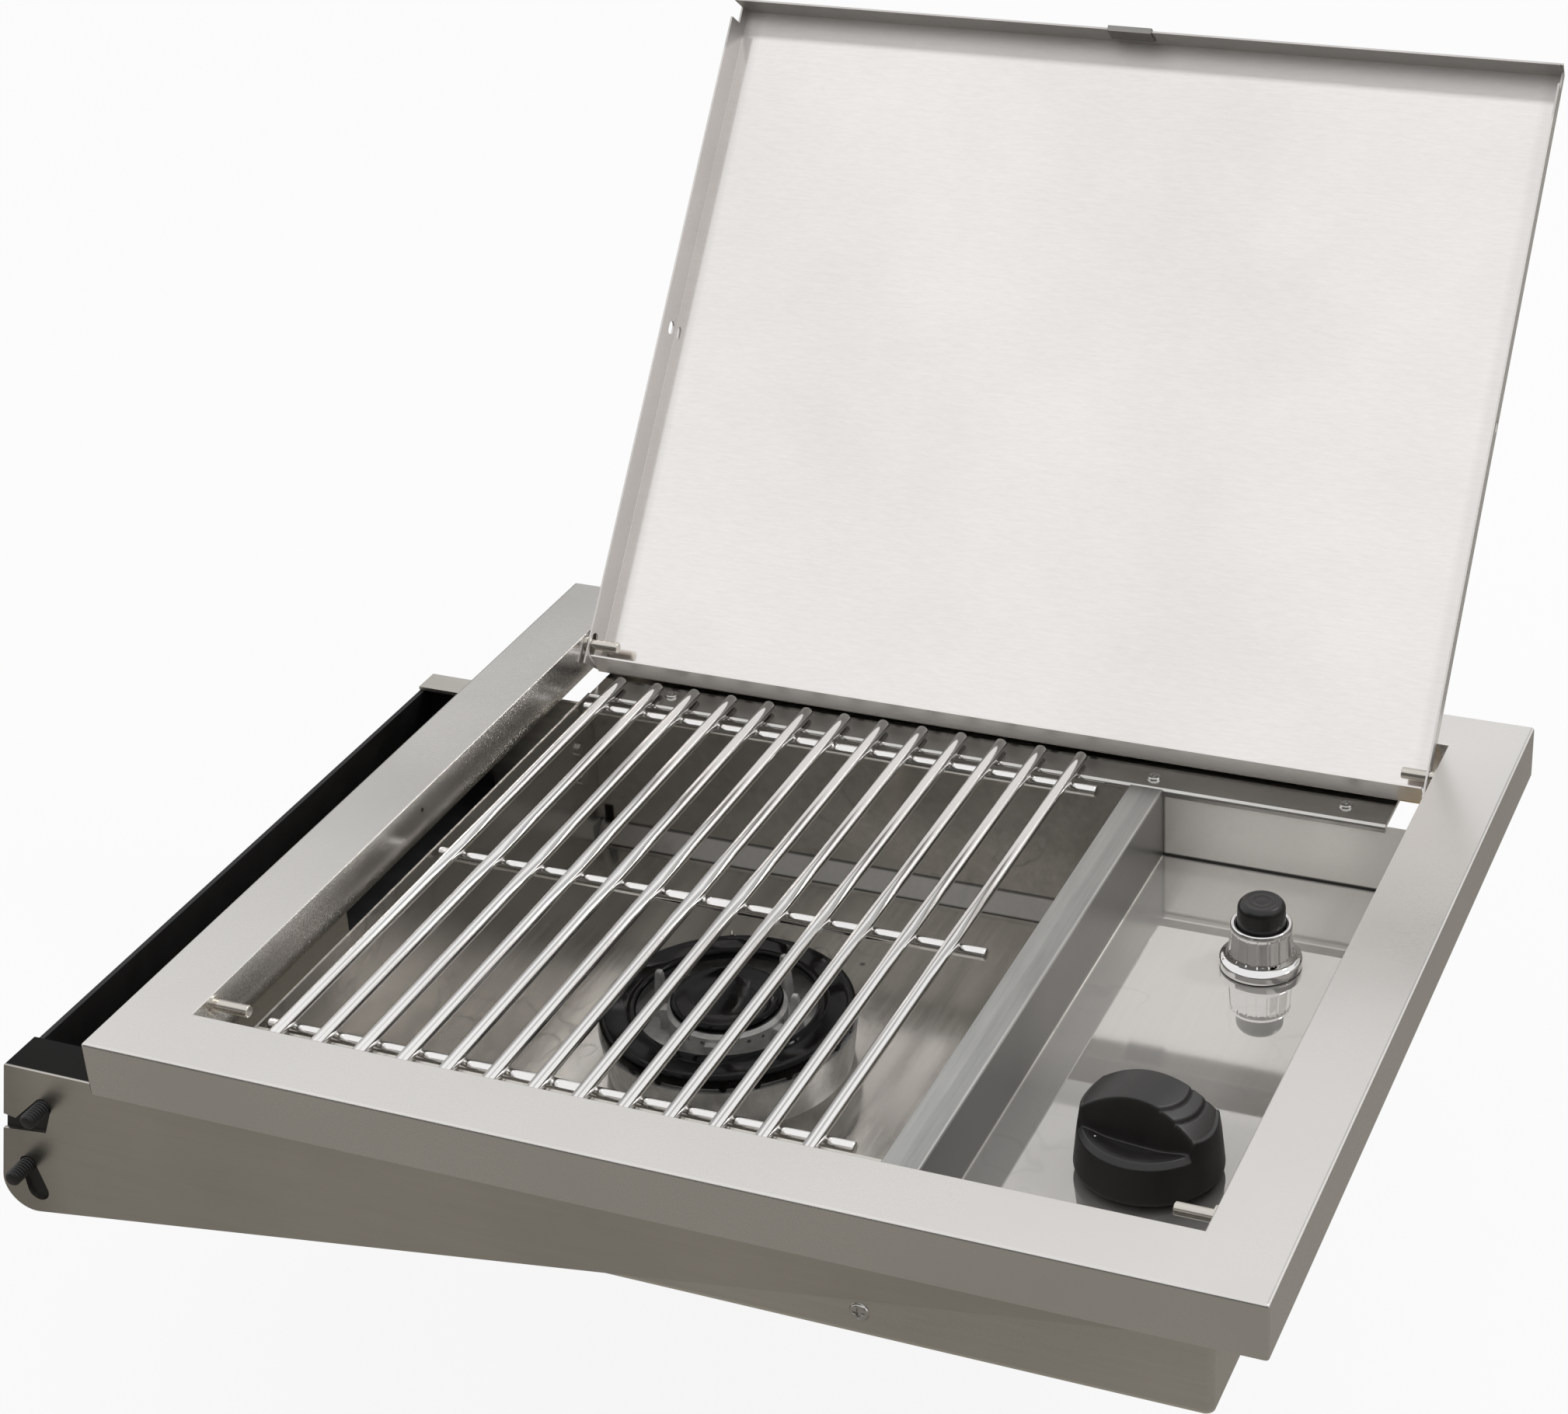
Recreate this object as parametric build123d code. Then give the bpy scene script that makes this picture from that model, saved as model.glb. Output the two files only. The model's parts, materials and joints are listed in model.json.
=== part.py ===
from build123d import *
from math import cos, hypot, radians, sin, tan
import os

# Everything below is laid out from the top front left corner of the frame:
# x runs right, y runs back and z runs up. The finished parts are then moved so
# that the origin lies on the outer face of the end channel.

# Sheets and running clearances
frame_sheet = 1.0
body_sheet = 1.0
lid_sheet = 0.8
arm_sheet = 1.5
channel_sheet = 2.0
running_clearance = 0.05
seat_clearance = 0.2
overrun = 5.0

# Top frame
frame_width = 420.0
frame_depth = 368.0
skirt_depth = 21.0
border_left = 27.0
border_right = 28.5
border_front = 28.0
frame_hole_y = 185.3
frame_hole_z = -7.2
frame_hole_radius = 1.0
inner_flange_depth = 18.0
frame_corner_radius = 1.2
frame_edge_radius = 0.5

# Lid, drawn closed and then swung open about the hinge pins
hinge_back = 41.0
hinge_z = -5.5
pin_radius = 2.25
pin_length = 14.0
pin_tail = 2.0
pin_dome = 0.6
pin_head_radius = 3.3
collar_radius = 3.75
collar_length = 0.8
rest_pin_y = 41.0
rest_pin_z = -4.5
lid_left_gap = 3.0
lid_right_gap = 5.0
lid_front_gap = 10.4
lid_tail = 9.0
lid_height = 8.5
lid_flange_depth = 12.0
lid_splay = 5.0
lid_open_angle = 129.5
rear_flange_depth = 11.0
rear_flange_lean = 23.0
notch_length = 7.5
hinge_slot_travel = 2.6
flange_hole_reach = 142.0
flange_hole_radius = 2.0
flange_hole_length = 6.0
flange_hole_drop = 4.2

# Clip on the lid's front flange
clip_sheet = 0.8
clip_width = 19.0
clip_inner_leg = 8.0
clip_outer_leg = 4.0

# Arms that hang on the end channel's bolts
arm_front_y = 3.0
arm_top_z = -19.3
arm_top_x = -37.6
arm_lean = 12.5
arm_low_x = -36.9
arm_low_z = -83.2
arm_rise = 8.2
arm_end_inset = 18.5
arm_corner_radius = 11.5
front_arm_lip = 18.0
rear_arm_lip = 12.0
rear_arm_inset = 5.4
rear_arm_tab = 14.0
skirt_slot_clearance = 0.2
bolt_radius = 3.0
bolt_upper_x = -24.5
bolt_upper_z = -34.6
bolt_lower_x = -36.5
bolt_lower_z = -62.0
bolt_slot_clearance = 0.4
hook_mouth_top_z = -40.4
hook_mouth_low_z = -48.4
hook_corner_x = -25.6
hook_corner_z = -46.0
hook_hump_x = -37.6
hook_hump_z = -42.2
key_entry_radius = 4.4
key_entry_x = -34.4
key_entry_z = -73.0
bolt_reach = 10.0
bolt_chamfer = 0.8
nut_flats = 10.0
nut_height = 5.0
bolt_tail = 1.5

# End channel between the arms
channel_inset = 0.6
channel_bottom_z = -71.0
channel_foot_x = -5.0
channel_flange_x = -13.0
channel_tab_margin = 1.0

# Outer box under the frame
box_front_y = 4.5
box_right_x = 401.5
box_left_x = 9.0
box_left_return = 150.0
box_bottom_z = -51.3
box_corner_radius = 3.0

# Tub that holds the burner
tub_left_x = 34.2
tub_right_x = 273.0
tub_front_y = 53.0
tub_rear_back = 57.6
tub_floor_z = -88.0
tub_top_z = -20.0
tub_step_height = 7.5

# Rear ledge
ledge_right_x = 376.0
ledge_rear_back = 17.0
ledge_lip = 3.0
ledge_bend_radius = 1.6
rear_seat_back = 30.0

# Divider between the burner and the controls
divider_left_x = 273.6
divider_width = 13.3
divider_sheet = 1.2
divider_leg = 9.0
divider_leg_inset = 1.3
divider_front_y = 34.0

# Control tray
panel_z = -50.3
tray_clearance = 0.2
tray_tab = 8.0

# Small screws
screw_radius = 2.0
screw_head_radius = 3.0
screw_head_height = 1.4
screw_length = 8.0
ledge_screw_left_x = 68.3
ledge_screw_right_x = 358.0
ledge_screw_inset = 10.2
divider_screw_x = 281.0
divider_screw_inset = 7.6
front_screw_x = 284.5
front_screw_z = -42.6
front_screw_head_radius = 3.6
front_screw_head_height = 1.2

# Grate of round rods on three cross rods
rod_count = 13
rod_radius = 2.5
rod_pitch = 17.05
first_rod_x = 45.0
rod_front_y = 39.0
rod_lift = 0.2
rod_rear_overhang = 10.2
cross_rod_count = 3
cross_rod_radius = 2.4
cross_rod_left_x = 35.4
cross_rod_right_x = 261.5
cross_rod_front_y = 58.5
cross_rod_rear_inset = 6.9

# Burner
burner_shift_right = 3.4
burner_shift_front = 5.4
ring_top_z = -62.0
ring_outer_radius = 48.9
ring_inner_radius = 34.5
ring_sheet = 1.4
ring_dish = 1.6
ring_roll = 2.0
ring_skirt = 6.0
ring_lip = 4.0
ring_tooth_count = 24
ring_tooth_width = 2.4
ring_tooth_height = 1.6
cap_radius = 21.8
cap_top_z = -59.5
cap_thickness = 3.2
cap_dish = 0.9
cap_spigot_radius = 14.0
cap_spigot_height = 4.0
crown_radius = 23.0
crown_bore_radius = 14.4
crown_top_z = -62.7
port_z = -66.4
port_count = 24
port_radius = 0.8
post_angles = (180.0, 62.0, 3.0)
lug_angles = (280.0, 348.0, 196.0)
post_radius = 28.0
post_width = 5.6
post_tip_width = 2.8
post_top_z = -54.0
bowl_rim_radius = 49.5
bowl_foot_radius = 47.0
bowl_wall = 2.6
bowl_deck_z = -74.0
lug_radius = 26.0
lug_size = 4.6
lug_top_z = -65.5

# Mixing tube from the valve's injector to the burner
tube_radius = 7.0
tube_wall = 1.0
tube_floor_gap = 1.0
tube_window_length = 14.0
throat_radius = 14.0
throat_wall = 3.0
throat_clearance = 0.3

# Gas valve, its jet and the inlet pipe
knob_run_x = 58.1
knob_run_y = 109.3
valve_width = 24.0
valve_depth = 30.0
valve_height = 30.0
valve_elbow_radius = 9.0
valve_outlet_length = 3.0
valve_neck_radius = 9.0
jet_radius = 5.0
jet_length = 18.0
jet_bore_radius = 0.6
jet_tip_radius = 3.2
jet_tip_length = 5.0
pipe_radius = 5.0
pipe_bore_radius = 3.6
pipe_z = -70.0
pipe_run_x = 30.0
pipe_bend_radius = 12.0
inlet_overhang = 7.6
inlet_length = 26.0
inlet_thread_radius = 6.6
inlet_hex_flats = 17.0
inlet_hex_length = 9.0
inlet_bracket_gap = 22.0
inlet_bracket_sheet = 1.5
inlet_bracket_width = 30.0
inlet_bracket_foot = 16.0

# Valve stem, its washer and spring
stem_radius = 4.0
stem_flat_depth = 1.5
stem_guide_radius = 3.0
knob_travel = 3.0
thrust_radius = 7.0
thrust_height = 1.6

# Knob
knob_radius = 26.0
knob_shelf_radius = 24.6
knob_shoulder_radius = 23.3
knob_crown_radius = 12.0
knob_height = 31.5
knob_shelf_height = 15.9
knob_shoulder_height = 22.9
knob_crown_drop = 2.2
knob_gap = 3.4
knob_wall = 2.2
knob_bore_height = 5.0
knob_grip_half = 8.5
knob_grip_foot = 12.2
knob_grip_turn = 6.0
knob_shelf_bevel = 2.0
knob_boss_radius = 7.0
knob_stem_seat = 6.0

# Igniter
igniter_run_x = 58.6
igniter_back = 63.4
gasket_height = 0.6
gasket_radius = 15.2
bezel_radius = 15.5
bezel_height = 3.6
bezel_slope = 1.6
bezel_collar_radius = 12.3
bezel_collar_top_radius = 11.7
bezel_rim_z = -31.1
bezel_rim_radius = 1.1
flute_count = 18
flute_radius = 0.55
button_radius = 9.1
button_top_z = -22.0
button_edge_radius = 1.8
button_dome = 1.0
button_length = 30.0
button_clearance = 0.08
barrel_radius = 11.0
barrel_bottom_z = -66.0
housing_bore_radius = 8.0
housing_bottom_z = -113.0
housing_wall = 1.4
igniter_nut_flats = 28.0
igniter_nut_height = 4.0
battery_radius = 7.2
battery_length = 50.5
battery_tip_radius = 2.7
battery_tip_length = 1.6

# Spark electrode beside the burner
electrode_angle = 113.0
electrode_gap = 4.5
ceramic_radius = 2.6
ceramic_foot_radius = 4.2
ceramic_foot_height = 3.0
electrode_top_z = -66.0
electrode_wire_radius = 0.8
electrode_tip_reach = 3.0
electrode_tail = 10.0
electrode_clearance = 0.1

# Shapes of ends and edges, as shares of the size they follow
dome_share = 0.6
end_chamfer_share = 0.3
roll_share = 0.45
tooth_inset_share = 0.8
dish_share = 0.55
slant_share = 0.7


def block(x0, x1, y0, y1, z0, z1):
    """A box between two corners."""
    corner = Location((min(x0, x1), min(y0, y1), min(z0, z1)))
    return corner * Box(abs(x1 - x0), abs(y1 - y0), abs(z1 - z0), align=(Align.MIN, Align.MIN, Align.MIN))


def bar(start, end, radius):
    """A round bar between two points."""
    run = Vector(*end) - Vector(*start)
    plane = Plane(origin=start, z_dir=run)
    return plane * Cylinder(radius, run.length, align=(Align.CENTER, Align.CENTER, Align.MIN))


def post(x, y, z0, z1, radius):
    """An upright round bar."""
    return bar((x, y, min(z0, z1)), (x, y, max(z0, z1)), radius)


def plate_across(points, y0, y1):
    """A flat outline in x and z, made thick along y."""
    face = make_face(Polyline(*[(x, y0, z) for x, z in points], close=True))
    return extrude(face, amount=y1 - y0, dir=(0, 1, 0))


def plate_along(points, x0, x1):
    """A flat outline in y and z, made thick along x."""
    face = make_face(Polyline(*[(x0, y, z) for y, z in points], close=True))
    return extrude(face, amount=x1 - x0, dir=(1, 0, 0))


def turned(x, y, points):
    """A turned piece: an outline in radius and height, spun about an upright axis."""
    face = make_face(Polyline(*[(radius, 0, z) for radius, z in points], close=True))
    return Location((x, y, 0)) * revolve(face, Axis.Z)


def hexagon(x, y, z, flats, height, along):
    """A hexagonal nut blank."""
    plane = Plane(origin=(x, y, z), z_dir=along)
    return plane * extrude(RegularPolygon(flats / 2, 6, major_radius=False), amount=height)


def round_end(shape, axis, last, radius):
    """Round the circular edge at one end of a bar."""
    ends = shape.edges().filter_by(GeomType.CIRCLE).sort_by(axis)
    return fillet(ends[-1 if last else 0], radius)


# Places worked out from the sizes
lean_shift = tan(radians(arm_lean))
rise_shift = tan(radians(arm_rise))
open_cos = cos(radians(lid_open_angle))
open_sin = sin(radians(lid_open_angle))
opening_left = border_left
opening_right = frame_width - border_right
opening_front = border_front
hinge_y = frame_depth - hinge_back
lid_inner_z = hinge_z + lid_height
lid_outer_z = lid_inner_z + lid_sheet
lid_front = opening_front + lid_front_gap
lid_rear = hinge_y + lid_tail
lid_flange_bottom = lid_inner_z - lid_flange_depth
lid_back_offset = lid_height + lid_sheet
lid_back_run = (-hinge_z - lid_back_offset * open_cos) / open_sin
lid_back_y = hinge_y - lid_back_run * open_cos + lid_back_offset * open_sin
rear_edge_reach = (frame_edge_radius + seat_clearance + frame_edge_radius * open_cos) / open_sin
opening_rear = lid_back_y - frame_edge_radius + rear_edge_reach
lid_left = opening_left + lid_left_gap
lid_right = opening_right - lid_right_gap
tub_rear_y = frame_depth - tub_rear_back
burner_x = (tub_left_x + tub_right_x) / 2 + burner_shift_right
burner_y = (tub_front_y + tub_rear_y) / 2 - burner_shift_front
divider_right_x = divider_left_x + divider_width
divider_bottom = tub_top_z - divider_sheet
ledge_bottom = tub_top_z - body_sheet
ledge_front_y = tub_rear_y - body_sheet
ledge_rear_y = frame_depth - ledge_rear_back
rear_seat_y = frame_depth - rear_seat_back
ledge_screw_y = ledge_front_y + ledge_screw_inset
divider_screw_y = ledge_front_y + divider_screw_inset
tray_left = divider_right_x
tray_right = box_right_x - body_sheet - tray_clearance
tray_front = box_front_y + body_sheet
wall_outer_y = tub_rear_y + body_sheet
panel_bottom = panel_z - body_sheet
arm_reach = box_right_x - arm_end_inset
electrode_offset = bowl_rim_radius + electrode_gap
knob_x = tray_left + knob_run_x
knob_y = tray_front + knob_run_y
igniter_x = tray_left + igniter_run_x
igniter_y = tub_rear_y - igniter_back
rod_rear_y = tub_rear_y + rod_rear_overhang
cross_rod_run = tub_rear_y - cross_rod_rear_inset - cross_rod_front_y
cross_rod_pitch = cross_rod_run / (cross_rod_count - 1)
rod_z = tub_top_z + rod_radius + rod_lift
cross_rod_z = rod_z - rod_radius - cross_rod_radius - running_clearance
rear_arm_outer_y = tub_rear_y - rear_arm_inset
rear_arm_y = rear_arm_outer_y - arm_sheet
tub_left_outer = tub_left_x - body_sheet
tube_axis_z = tub_floor_z - body_sheet - tube_floor_gap - tube_radius
tube_run_x = knob_x - burner_x
tube_run_y = knob_y - burner_y
tube_run = hypot(tube_run_x, tube_run_y)
jet_start = tube_run - valve_elbow_radius - valve_outlet_length
tube_mouth = jet_start - jet_length + jet_tip_length
pipe_x = knob_x + pipe_run_x
inlet_y = tub_rear_y + inlet_overhang
inlet_bracket_y = inlet_y - inlet_bracket_gap
valve_low = panel_bottom - valve_height
knob_bottom_z = panel_z + knob_gap
knob_top_z = knob_bottom_z + knob_height
pocket_floor_z = panel_z - thrust_height - knob_travel - seat_clearance
guide_floor_z = pocket_floor_z - valve_depth / 2
bezel_bottom_z = panel_z + gasket_height
bowl_rim_z = ring_top_z - ring_skirt - ring_tooth_height - seat_clearance
bezel_flange_z = bezel_bottom_z + bezel_height


def lean_x(z):
    """Where the arms' leaning end lies at a height."""
    return arm_top_x + (z - arm_top_z) * lean_shift


def low_z(x):
    """Height of the arms' sloping lower edge."""
    return arm_low_z + (x - arm_low_x) * rise_shift


corner_run = arm_top_x - arm_top_z * lean_shift - arm_low_x
arm_corner_z = (arm_low_z + corner_run * rise_shift) / (1 - lean_shift * rise_shift)
arm_corner_x = lean_x(arm_corner_z)
channel_top = arm_top_z - arm_sheet - seat_clearance
channel_front_y = arm_front_y + arm_sheet
channel_rear_y = rear_arm_y
origin_z = (channel_top + channel_bottom_z) / 2
origin_x = lean_x(origin_z) + channel_inset
origin_y = (channel_front_y + channel_rear_y) / 2
to_origin = Location((-origin_x, -origin_y, -origin_z))


def make_top_frame():
    """Folded border with an outer skirt and an inner flange round the opening."""
    body = block(0, frame_width, 0, frame_depth, -skirt_depth, 0)
    outer = body.edges().filter_by(Axis.Z) + body.edges().group_by(Axis.Z)[-1]
    body = fillet(outer, frame_corner_radius)
    body -= block(frame_sheet, frame_width - frame_sheet, frame_sheet, frame_depth - frame_sheet,
                  -skirt_depth - overrun, -frame_sheet)
    body += block(opening_left - frame_sheet, opening_right + frame_sheet, opening_front - frame_sheet,
                  opening_rear + frame_sheet, -inner_flange_depth, -frame_sheet / 2)
    body -= block(opening_left, opening_right, opening_front, opening_rear, -skirt_depth, overrun)
    rim = body.faces().filter_by(Axis.Z).sort_by(Axis.Z)[-1].inner_wires()[0].edges()
    body = fillet(rim, frame_edge_radius)
    for y, z in ((hinge_y, hinge_z), (rest_pin_y, rest_pin_z)):
        body -= bar((opening_left - overrun, y, z), (opening_right + overrun, y, z), pin_radius)
    return body - bar((opening_left - overrun, frame_hole_y, frame_hole_z),
                      (opening_left + overrun, frame_hole_y, frame_hole_z), frame_hole_radius)


def make_pins(y, z):
    """A pair of short pins riveted into the inner flanges."""
    pieces = []
    for wall, side in ((opening_left, 1), (opening_right, -1)):
        back = wall - side * frame_sheet
        shank = bar((back, y, z), (wall + side * pin_length, y, z), pin_radius)
        shank = round_end(shank, Axis.X, side > 0, pin_dome)
        pieces.append(shank + bar((back - side * pin_tail, y, z), (back, y, z), pin_head_radius))
    return pieces


def make_collars():
    """Four collars that keep the pins square in the flanges."""
    pieces = []
    for y, z in ((hinge_y, hinge_z), (rest_pin_y, rest_pin_z)):
        for wall, side in ((opening_left, 1), (opening_right, -1)):
            ring = bar((wall, y, z), (wall + side * collar_length, y, z), collar_radius)
            ring -= bar((wall - overrun, y, z), (wall + overrun, y, z), pin_radius)
            pieces.append(ring)
    return pieces


def swing(shape):
    """Turn a closed lid piece to the open pose about the hinge pins."""
    return shape.rotate(Axis((0, hinge_y, hinge_z), (1, 0, 0)), -lid_open_angle)


def make_lid():
    """Lid tray: a panel with four folded flanges."""
    left = lid_left - lid_sheet
    right = lid_right + lid_sheet
    lid = block(left, right, lid_front - lid_sheet, lid_rear, lid_inner_z, lid_outer_z)
    spread = (lid_flange_depth + lid_sheet) * tan(radians(lid_splay))
    for edge, side in ((lid_left, -1), (lid_right, 1)):
        low = edge + side * spread
        section = [(edge, lid_outer_z), (edge + side * lid_sheet, lid_outer_z)]
        section += [(low + side * lid_sheet, lid_flange_bottom), (low, lid_flange_bottom)]
        lid += plate_across(section, lid_front - lid_sheet, lid_rear)
    lid += block(left, right, lid_front - lid_sheet, lid_front, lid_flange_bottom, lid_outer_z)
    lean_y = sin(radians(rear_flange_lean))
    lean_z = cos(radians(rear_flange_lean))
    tip_y = lid_rear - rear_flange_depth * lean_y
    tip_z = lid_inner_z - rear_flange_depth * lean_z
    rear = [(lid_rear, lid_inner_z), (lid_rear, lid_outer_z)]
    rear += [(lid_rear + lid_sheet * lean_z, lid_outer_z - lid_sheet * lean_y)]
    rear += [(tip_y + lid_sheet * lean_z, tip_z - lid_sheet * lean_y), (tip_y, tip_z)]
    lid += plate_along(rear, lid_left, lid_right)
    notch_top = rest_pin_z + pin_radius + running_clearance
    slot_radius = pin_radius + running_clearance
    hole_y = hinge_y - flange_hole_reach
    hole_z = lid_inner_z - flange_hole_drop
    hole_half = flange_hole_length / 2 - flange_hole_radius
    for x0, x1 in ((opening_left, lid_left + lid_sheet), (lid_right - lid_sheet, opening_right)):
        lid -= block(x0, x1, lid_front, lid_front + notch_length, lid_flange_bottom - overrun, notch_top)
        lid -= long_hole(x0, x1, hinge_y, hinge_z, slot_radius, hinge_slot_travel)
        lid -= long_hole(x0, x1, hole_y, hole_z, flange_hole_radius, hole_half)
    return swing(lid)


def long_hole(x0, x1, y, z, radius, half):
    """A round-ended cutter along x that is long in y."""
    cutter = block(x0, x1, y - half, y + half, z - radius, z + radius)
    cutter += bar((x0, y - half, z), (x1, y - half, z), radius)
    return cutter + bar((x0, y + half, z), (x1, y + half, z), radius)


def make_lid_clip():
    """Small folded clip over the middle of the lid's front flange."""
    middle = (lid_left + lid_right) / 2
    outer = lid_front - lid_sheet
    low = lid_flange_bottom
    section = [(outer, low + clip_outer_leg), (outer - clip_sheet, low + clip_outer_leg)]
    section += [(outer - clip_sheet, low - clip_sheet), (lid_front + clip_sheet, low - clip_sheet)]
    section += [(lid_front + clip_sheet, low + clip_inner_leg), (lid_front, low + clip_inner_leg)]
    section += [(lid_front, low), (outer, low)]
    return swing(plate_along(section, middle - clip_width / 2, middle + clip_width / 2))


def arm_plate(reach, top_right, y0, y1):
    """Leaning end, rounded low corner, sloping lower edge and a raised top inside the skirt."""
    inner = frame_sheet + skirt_slot_clearance
    points = [(arm_top_x, arm_top_z), (arm_corner_x, arm_corner_z), (reach, low_z(reach))]
    points += [(reach, top_right), (inner, top_right), (inner, -skirt_depth - skirt_slot_clearance)]
    points += [(-skirt_slot_clearance, -skirt_depth - skirt_slot_clearance)]
    points += [(-skirt_slot_clearance, arm_top_z)]
    plate = plate_across(points, y0, y1)
    corner = Vector(arm_corner_x, (y0 + y1) / 2, arm_corner_z)
    edge = plate.edges().filter_by(Axis.Y).sort_by_distance(corner)[0]
    return fillet(edge, arm_corner_radius)


def cut_arm(arm, y0, y1):
    """Hook notch and keyhole of an arm."""
    radius = bolt_radius + bolt_slot_clearance
    y0 -= overrun
    y1 += overrun
    mouth_top_x = lean_x(hook_mouth_top_z) - overrun
    mouth_low_x = lean_x(hook_mouth_low_z) - overrun
    notch = [(bolt_upper_x + radius, bolt_upper_z), (hook_corner_x, hook_corner_z)]
    notch += [(mouth_low_x, hook_mouth_low_z), (mouth_top_x, hook_mouth_top_z), (hook_hump_x, hook_hump_z)]
    notch += [(bolt_upper_x - radius * slant_share, bolt_upper_z + radius * slant_share)]
    arm -= plate_across(notch, y0, y1)
    arm -= bar((bolt_upper_x, y0, bolt_upper_z), (bolt_upper_x, y1, bolt_upper_z), radius)
    run = hypot(key_entry_x - bolt_lower_x, key_entry_z - bolt_lower_z)
    side_x = (bolt_lower_z - key_entry_z) / run
    side_z = (key_entry_x - bolt_lower_x) / run
    key = [(bolt_lower_x + side_x * radius, bolt_lower_z + side_z * radius)]
    key += [(bolt_lower_x - side_x * radius, bolt_lower_z - side_z * radius)]
    key += [(key_entry_x - side_x * key_entry_radius, key_entry_z - side_z * key_entry_radius)]
    key += [(key_entry_x + side_x * key_entry_radius, key_entry_z + side_z * key_entry_radius)]
    arm -= plate_across(key, y0, y1)
    arm -= bar((bolt_lower_x, y0, bolt_lower_z), (bolt_lower_x, y1, bolt_lower_z), radius)
    return arm - bar((key_entry_x, y0, key_entry_z), (key_entry_x, y1, key_entry_z), key_entry_radius)


def make_front_arm():
    """Front arm: the long plate under the frame's front skirt, with a top flange outside the frame."""
    y1 = arm_front_y + arm_sheet
    arm = arm_plate(arm_reach, -frame_sheet, arm_front_y, y1)
    arm += block(arm_top_x, -skirt_slot_clearance, arm_front_y, arm_front_y + front_arm_lip,
                 arm_top_z - arm_sheet, arm_top_z)
    return cut_arm(arm, arm_front_y, y1)


def make_rear_arm():
    """Rear arm: a short plate riveted to the tub's left wall."""
    y1 = rear_arm_outer_y
    tab_x = tub_left_outer
    top = rod_z - rod_radius - arm_sheet
    arm = arm_plate(tab_x, top, rear_arm_y, y1)
    arm += block(arm_top_x, -skirt_slot_clearance, y1 - rear_arm_lip, y1, arm_top_z - arm_sheet, arm_top_z)
    arm += block(tab_x - arm_sheet, tab_x, y1 - rear_arm_tab, y1, low_z(tab_x), top)
    arm = cut_arm(arm, rear_arm_y, y1)
    for y, z in rivet_places():
        arm -= bar((tab_x - overrun, y, z), (tab_x + overrun, y, z), screw_radius)
    return arm


def rivet_places():
    """Places of the two rivets in the rear arm's tab."""
    middle_y = rear_arm_y - (rear_arm_tab - arm_sheet) / 2
    middle_z = (tub_top_z + low_z(tub_left_outer)) / 2
    return ((middle_y, middle_z + rear_arm_tab / 2), (middle_y, middle_z - rear_arm_tab / 2))


def make_arm_rivets():
    """Two rivets that hold the rear arm to the tub."""
    pieces = []
    outer = tub_left_outer - arm_sheet
    for y, z in rivet_places():
        rivet = bar((outer, y, z), (tub_left_x, y, z), screw_radius)
        rivet += bar((tub_left_x, y, z), (tub_left_x + screw_head_height, y, z), screw_head_radius)
        rivet += bar((outer - screw_head_height, y, z), (outer, y, z), screw_head_radius)
        pieces.append(rivet)
    return pieces


def bolt_places():
    """The upper and the lower bolt's place in an arm."""
    return ((bolt_upper_x, bolt_upper_z), (bolt_lower_x, bolt_lower_z))


def make_end_channel():
    """Leaning web with a foot flange and a flange behind each arm that closes its notch and keyhole."""
    slant = channel_sheet / cos(radians(arm_lean))
    top_x = lean_x(channel_top) + channel_inset
    low_x = lean_x(channel_bottom_z) + channel_inset
    web = [(top_x, channel_top), (low_x, channel_bottom_z)]
    web += [(low_x + slant, channel_bottom_z), (top_x + slant, channel_top)]
    body = plate_across(web, channel_front_y, channel_rear_y)
    body += block(low_x + slant / 2, channel_foot_x, channel_front_y, channel_rear_y,
                  channel_bottom_z, channel_bottom_z + channel_sheet)
    tab_x = key_entry_x - key_entry_radius - channel_tab_margin
    tab_z = key_entry_z - key_entry_radius - channel_tab_margin
    flange = [(top_x, channel_top), (low_x, channel_bottom_z), (tab_x, channel_bottom_z)]
    flange += [(tab_x, tab_z), (channel_flange_x, tab_z), (channel_flange_x, channel_top)]
    body += plate_across(flange, channel_front_y, channel_front_y + channel_sheet)
    body += plate_across(flange, channel_rear_y - channel_sheet, channel_rear_y)
    for x, z in bolt_places():
        body -= bar((x, channel_front_y - overrun, z), (x, channel_rear_y + overrun, z), bolt_radius)
    return body


def channel_ends():
    """Inner face of each end flange, outer face of its arm, and the way out."""
    front = (channel_front_y + channel_sheet, arm_front_y, -1)
    rear = (channel_rear_y - channel_sheet, rear_arm_outer_y, 1)
    return (front, rear)


def make_arm_bolts():
    """Four bolts that the arms hang on, two at each end of the channel."""
    pieces = []
    for flange_y, face_y, side in channel_ends():
        for x, z in bolt_places():
            start = flange_y - side * (nut_height + bolt_tail)
            shank = bar((x, start, z), (x, face_y + side * bolt_reach, z), bolt_radius)
            ends = shank.edges().filter_by(GeomType.CIRCLE).sort_by(Axis.Y)
            pieces.append(chamfer(ends[-1 if side > 0 else 0], bolt_chamfer))
    return pieces


def make_arm_nuts():
    """Nuts on the inner side of the channel's flanges."""
    pieces = []
    for flange_y, face_y, side in channel_ends():
        for x, z in bolt_places():
            nut = hexagon(x, flange_y, z, nut_flats, nut_height, (0, -side, 0))
            hole = bar((x, flange_y - nut_height - overrun, z), (x, flange_y + nut_height + overrun, z),
                       bolt_radius)
            pieces.append(nut - hole)
    return pieces


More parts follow.
